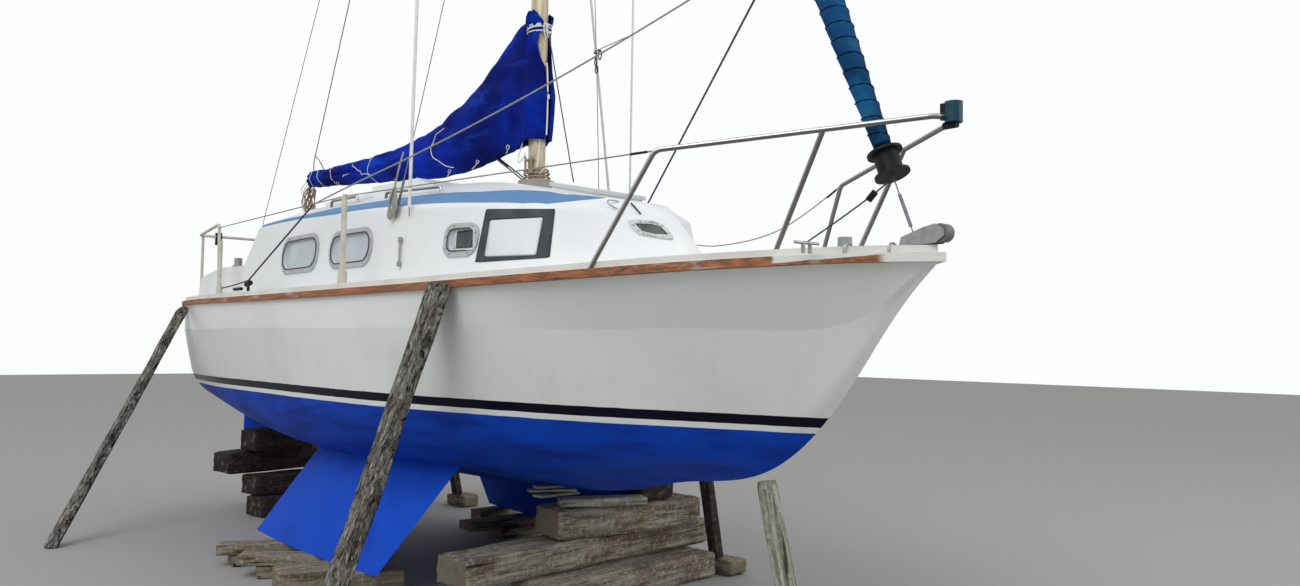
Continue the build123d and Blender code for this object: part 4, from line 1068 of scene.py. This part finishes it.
def tube_paint():
    # Steel tube with painted shade: bright on top and painted dark on its underside
    s = Shader("tube_steel", rough=0.3, metal=0.75)
    upward = s.axes(s.add("ShaderNodeNewGeometry").outputs["Normal"])[2]
    # Painted shade: darker where the surface faces down, lighter where it faces up
    s.set("Base Color", s.mix(s.step(upward, -0.25, 0.35), (0.2, 0.19, 0.175), (0.62, 0.62, 0.6)))
    s.bump(s.noise(60.0, 3.0), 0.05, 0.001)
    return s.material


def strake_paint():
    # Weathered hardwood: toward the bow white paint covers its upper part, then all of it
    tree = surface("rubbing_strake")
    start = seen(tree, 772.7, 264.0)
    end = seen(tree, 881.7, 255.0)
    s = Shader("strake_wood", rough=0.6)
    fibre = s.noise(1.0, 8.0, s.place((3, 30, 60)), rough=0.7)
    crack = s.noise(1.0, 4.0, s.place((1.4, 14, 30)), twist=0.6)
    colour = s.mix(s.step(fibre, 0.35, 0.68), (0.17, 0.065, 0.03), (0.46, 0.16, 0.055))
    bare = s.step(s.noise(3.0, 7.0, s.place((1.0, 2.0, 5.0)), rough=0.75), 0.56, 0.64)
    colour = s.mix(s.times(bare, 0.7), colour, (0.46, 0.38, 0.3))
    colour = s.mix(s.step(crack, 0.38, 0.3), colour, (0.05, 0.025, 0.015))
    x, _, z = s.axes()
    height = s.plus(z, s.times(s.minus(s.noise(6.0), 0.5), 0.02))
    slope = (end.z - start.z) / (end.x - start.x)
    middle = s.plus(s.times(s.minus(x, start.x), slope), start.z)
    upper = s.times(s.step(x, start.x - 0.01, start.x + 0.01), s.step(s.minus(height, middle), 0.0, 0.004))
    white = s.math("MAXIMUM", upper, s.step(x, end.x - 0.02, end.x + 0.02))
    s.set("Base Color", s.mix(white, colour, (0.74, 0.75, 0.72)))
    s.bump(s.plus(fibre, s.times(s.step(crack, 0.3, 0.4), 0.8)), 0.7, 0.005)
    return s.material


def spar_paint():
    # Spar whose coating has flaked and stained
    s = Shader("spar_alloy", rough=0.5, metal=0.25)
    flake = s.noise(1.0, 7.0, s.place((16, 16, 3.2)), rough=0.8, twist=0.5)
    colour = s.mix(s.step(flake, 0.42, 0.62), (0.5, 0.42, 0.28), (0.7, 0.62, 0.46))
    dark = s.step(s.noise(9.0, 7.0, rough=0.8), 0.6, 0.68)
    colour = s.mix(s.times(dark, 0.7), colour, (0.16, 0.12, 0.07))
    colour = s.mix(s.step(s.axes()[2], 2.622, 2.616), colour, (0.3, 0.29, 0.27))
    s.set("Base Color", colour)
    s.bump(flake, 0.4, 0.003)
    return s.material


def cloth_paint(name, colour, dark, faded, mildew, mildew_share):
    # Cloth with faded ridges, spots of mildew, painted shade darkening its lower part and a fine weave
    s = Shader(name, rough=0.85, shine=0.1)
    shade = s.mix(s.step(s.noise(2.2, 5.0), 0.35, 0.65), dark, colour)
    shade = s.mix(s.times(s.step(s.noise(1.0, 5.0, s.place((3, 3, 9))), 0.52, 0.7), 0.5), shade, faded)
    spots = s.times(s.step(s.noise(5.0, 7.0, rough=0.75), 0.58, 0.68), mildew_share)
    x, _, z = s.axes()
    # Painted shade: on the forward part of the cover the cloth darkens toward the bottom, in uneven patches
    low = s.times(s.step(z, 3.08, 2.72), s.step(x, -0.9, 0.1))
    low = s.times(low, s.step(s.noise(3.0, 6.0), 0.36, 0.6))
    shade = s.mix(s.times(low, 0.85), shade, tuple(v * 0.3 for v in dark))
    s.set("Base Color", s.mix(spots, shade, mildew))
    weave = s.noise(420.0, 2.0)
    crumple = s.noise(1.0, 5.0, s.place((5, 9, 9)), rough=0.5, twist=0.8)
    s.bump(s.plus(s.times(weave, 0.04), crumple), 0.55, 0.02)
    return s.material


def lid_paint():
    # Frosted lid in soft patches of grey
    s = Shader("lid_paint", rough=0.5)
    patch = s.step(s.noise(5.0, 5.0), 0.4, 0.75)
    s.set("Base Color", s.mix(s.times(patch, 0.5), (0.58, 0.6, 0.6), (0.4, 0.41, 0.37)))
    s.bump(s.noise(40.0, 3.0), 0.1, 0.001)
    return s.material


def dress():
    tube = tube_paint()
    cream = plain("post_paint", (0.62, 0.6, 0.5), (0.36, 0.33, 0.24), 12.0, 0.5, 0.1, 0.2)
    alloy = plain("frame_alloy", (0.56, 0.57, 0.58), (0.34, 0.35, 0.36), 12.0, 0.42, 0.6, 0.2)
    post_alloy = plain("post_alloy", (0.36, 0.37, 0.37), (0.22, 0.22, 0.22), 14.0, 0.5, 0.4, 0.2)
    steel = plain("steel", (0.42, 0.42, 0.42), (0.2, 0.19, 0.17), 30.0, 0.35, 1.0)
    wire = plain("wire_steel", (0.2, 0.21, 0.22), (0.1, 0.1, 0.1), 60.0, 0.45, 0.6)
    moulding = plain("moulding_paint", (0.78, 0.78, 0.74), (0.45, 0.44, 0.36), 3.4, 0.4, share=0.4)
    hatch = plain("hatch_paint", (0.8, 0.82, 0.82), (0.62, 0.62, 0.56), 3.0, 0.4, share=0.4)
    coaming = plain("coaming_paint", ROOF_WHITE, (0.55, 0.56, 0.46), 2.5, 0.35, share=0.4)
    antifoul = plain(
        "antifouling", (0.002, 0.07, 0.56), (0.002, 0.035, 0.34), 3.0, 0.6, bumps=0.3, grain=18.0, shine=0.12)
    bronze = plain("bronze", (0.4, 0.27, 0.12), (0.12, 0.17, 0.12), 20.0, 0.4, 0.9)
    black = plain("black_plastic", (0.006, 0.0065, 0.008), (0.018, 0.018, 0.019), 20.0, 0.5, shine=0.25)
    roller = plain("roller_grey", (0.17, 0.17, 0.165), (0.08, 0.08, 0.08), 20.0, 0.6)
    teal = plain("lantern_teal", (0.004, 0.055, 0.08), (0.004, 0.02, 0.03), 30.0, 0.35, shine=0.3)
    engine = plain("engine_paint", (0.2, 0.25, 0.23), (0.1, 0.11, 0.1), 8.0, 0.5)
    door = door_paint()
    spar = spar_paint()
    roof = roof_paint()
    for mat, names in (
            (hull_paint(), "hull"), (strake_paint(), "rubbing_strake"), (lid_paint(), "fore_hatch_lid"),
            (roof, "coachroof coachroof_nose cabin_bulkhead"), (moulding, "toe_moulding"),
            (alloy, "window_frames hatch_runners"), (tube, "grab_rails pulpit"), (engine, "engine"),
            (door, "door_port door_starboard"), (steel, "winches rudder_hangings gooseneck bow_fitting"),
            (hatch, "sliding_hatch hatch_garage fore_hatch_coaming locker_lid_port locker_lid_starboard"),
            (coaming, "cockpit_coaming"), (antifoul, "keel_port keel_starboard rudder"),
            (cream, "pushpit stanchions"), (bronze, "propeller shaft_bracket"), (spar, "mast boom"),
            (wire, "stays"), (roller, "bow_roller"), (black, "furling_drum"), (teal, "bow_lantern"),
            (post_alloy, "mooring_post")):
        for name in names.split():
            paint(name, mat)
    # Pale grey panes: their colour stands for curtains behind the glass and partly for painted reflection
    glass = Shader("window_glass", rough=0.08, shine=0.8)
    glass.set("Base Color", glass.mix(glass.noise(5.0), (0.6, 0.66, 0.7), (0.36, 0.41, 0.45)))
    paint("window_panes", glass.material)
    # Cloths by colour, dark, faded and mildew, with the mildew's share
    canvas, cloth, edge_cloth = [cloth_paint(*row) for row in (
        ("cover_canvas",
         (0.001, 0.026, 0.4), (0.001, 0.006, 0.13), (0.003, 0.07, 0.55), (0.008, 0.012, 0.02), 0.6),
        ("sail_cloth",
         (0.01, 0.105, 0.25), (0.006, 0.045, 0.15), (0.035, 0.17, 0.3), (0.05, 0.07, 0.08), 0.6),
        ("sail_edge",
         (0.004, 0.025, 0.07), (0.002, 0.012, 0.04), (0.01, 0.05, 0.1), (0.02, 0.03, 0.03), 0.5))]
    light_rope, dark_rope, white_rope, brown_rope, grey_rope = [
        plain("rope_" + name, colour, other, scale, rough, bumps=bumps, grain=grain)
        for name, colour, other, scale, rough, bumps, grain in (
            ("light", (0.3, 0.31, 0.3), (0.14, 0.145, 0.145), 40.0, 0.8, 0.6, 260.0),
            ("dark", (0.045, 0.05, 0.055), (0.12, 0.12, 0.12), 40.0, 0.8, 0.6, 260.0),
            ("white", (0.78, 0.78, 0.74), (0.5, 0.5, 0.44), 30.0, 0.75, 0.5, 260.0),
            ("brown", (0.34, 0.27, 0.18), (0.1, 0.075, 0.05), 24.0, 0.9, 0.8, 200.0),
            ("grey", (0.4, 0.37, 0.33), (0.2, 0.17, 0.15), 24.0, 0.9, 0.8, 200.0))]
    rubber = plain("seal_rubber", (0.03, 0.032, 0.035), (0.09, 0.09, 0.09), 20.0, 0.6)
    white_frame = plain("frame_white", (0.62, 0.64, 0.64), (0.38, 0.4, 0.4), 14.0, 0.45)
    dark_pane = plain("pane_dark", (0.045, 0.06, 0.06), (0.15, 0.17, 0.16), 9.0, 0.2)
    tape = plain("tape_black", (0.022, 0.028, 0.035), (0.09, 0.1, 0.11), 9.0, 0.55, bumps=0.5, grain=60.0)
    card = plain("sheet_pale", (0.74, 0.78, 0.81), (0.52, 0.56, 0.6), 5.0, 0.45, bumps=0.8, grain=12.0)
    cover = make_cover(canvas)
    make_collar(canvas)
    make_lacing(cover, white_rope)
    make_furled_sail(cloth, edge_cloth)
    make_rigging(light_rope, dark_rope, white_rope, brown_rope, black)
    make_deck_gear(cream, dark_rope, steel, black, grey_rope)
    make_window_parts(rubber, steel, white_frame, dark_pane, tape, card)
    make_timbers()


FLOOR_REACH = 40.0
FLOOR_COLOUR = (0.36, 0.355, 0.34)


def make_stage():
    floor = bpy.data.meshes.new("floor")
    corners = [(x * FLOOR_REACH, y * FLOOR_REACH, 0) for x, y in ((-1, -1), (1, -1), (1, 1), (-1, 1))]
    floor.from_pydata(corners, [], [(0, 1, 2, 3)])
    s = Shader("floor_pale", rough=0.9)
    s.set("Base Color", FLOOR_COLOUR)
    floor.materials.append(s.material)
    new_object("floor", floor)
    world = bpy.data.worlds.new("sky")
    bpy.context.scene.world = world
    world.use_nodes = True
    tree = world.node_tree
    background = tree.nodes["Background"]
    # The lens and glass see a white sky, and the object gets a weaker light from it
    path = tree.nodes.new("ShaderNodeLightPath")
    either = tree.nodes.new("ShaderNodeMath")
    either.operation = "MAXIMUM"
    for i, ray in enumerate(("Is Camera Ray", "Is Transmission Ray")):
        tree.links.new(path.outputs[ray], either.inputs[i])
    strength = tree.nodes.new("ShaderNodeMapRange")
    strength.inputs["To Min"].default_value = 0.72
    strength.inputs["To Max"].default_value = 1.0
    tree.links.new(either.outputs[0], strength.inputs["Value"])
    tree.links.new(strength.outputs[0], background.inputs["Strength"])
    background.inputs["Color"].default_value = (0.97, 0.985, 1.0, 1)
    for name, place, aim, size, power in (
            ("key", (4.0, -11.0, 12.0), (0, 0, 1.5), 9.0, 900.0),
            ("fill", (12.0, 6.0, 7.0), (1, 0, 1.5), 7.0, 350.0)):
        data = bpy.data.lights.new(name, "AREA")
        data.size = size
        data.energy = power
        lamp = new_object(name, data)
        lamp.location = place
        lamp.rotation_euler = (Vector(aim) - Vector(place)).to_track_quat("-Z", "Y").to_euler()


make_camera()
bpy.context.scene.view_settings.view_transform = "Standard"
dress()
make_stage()
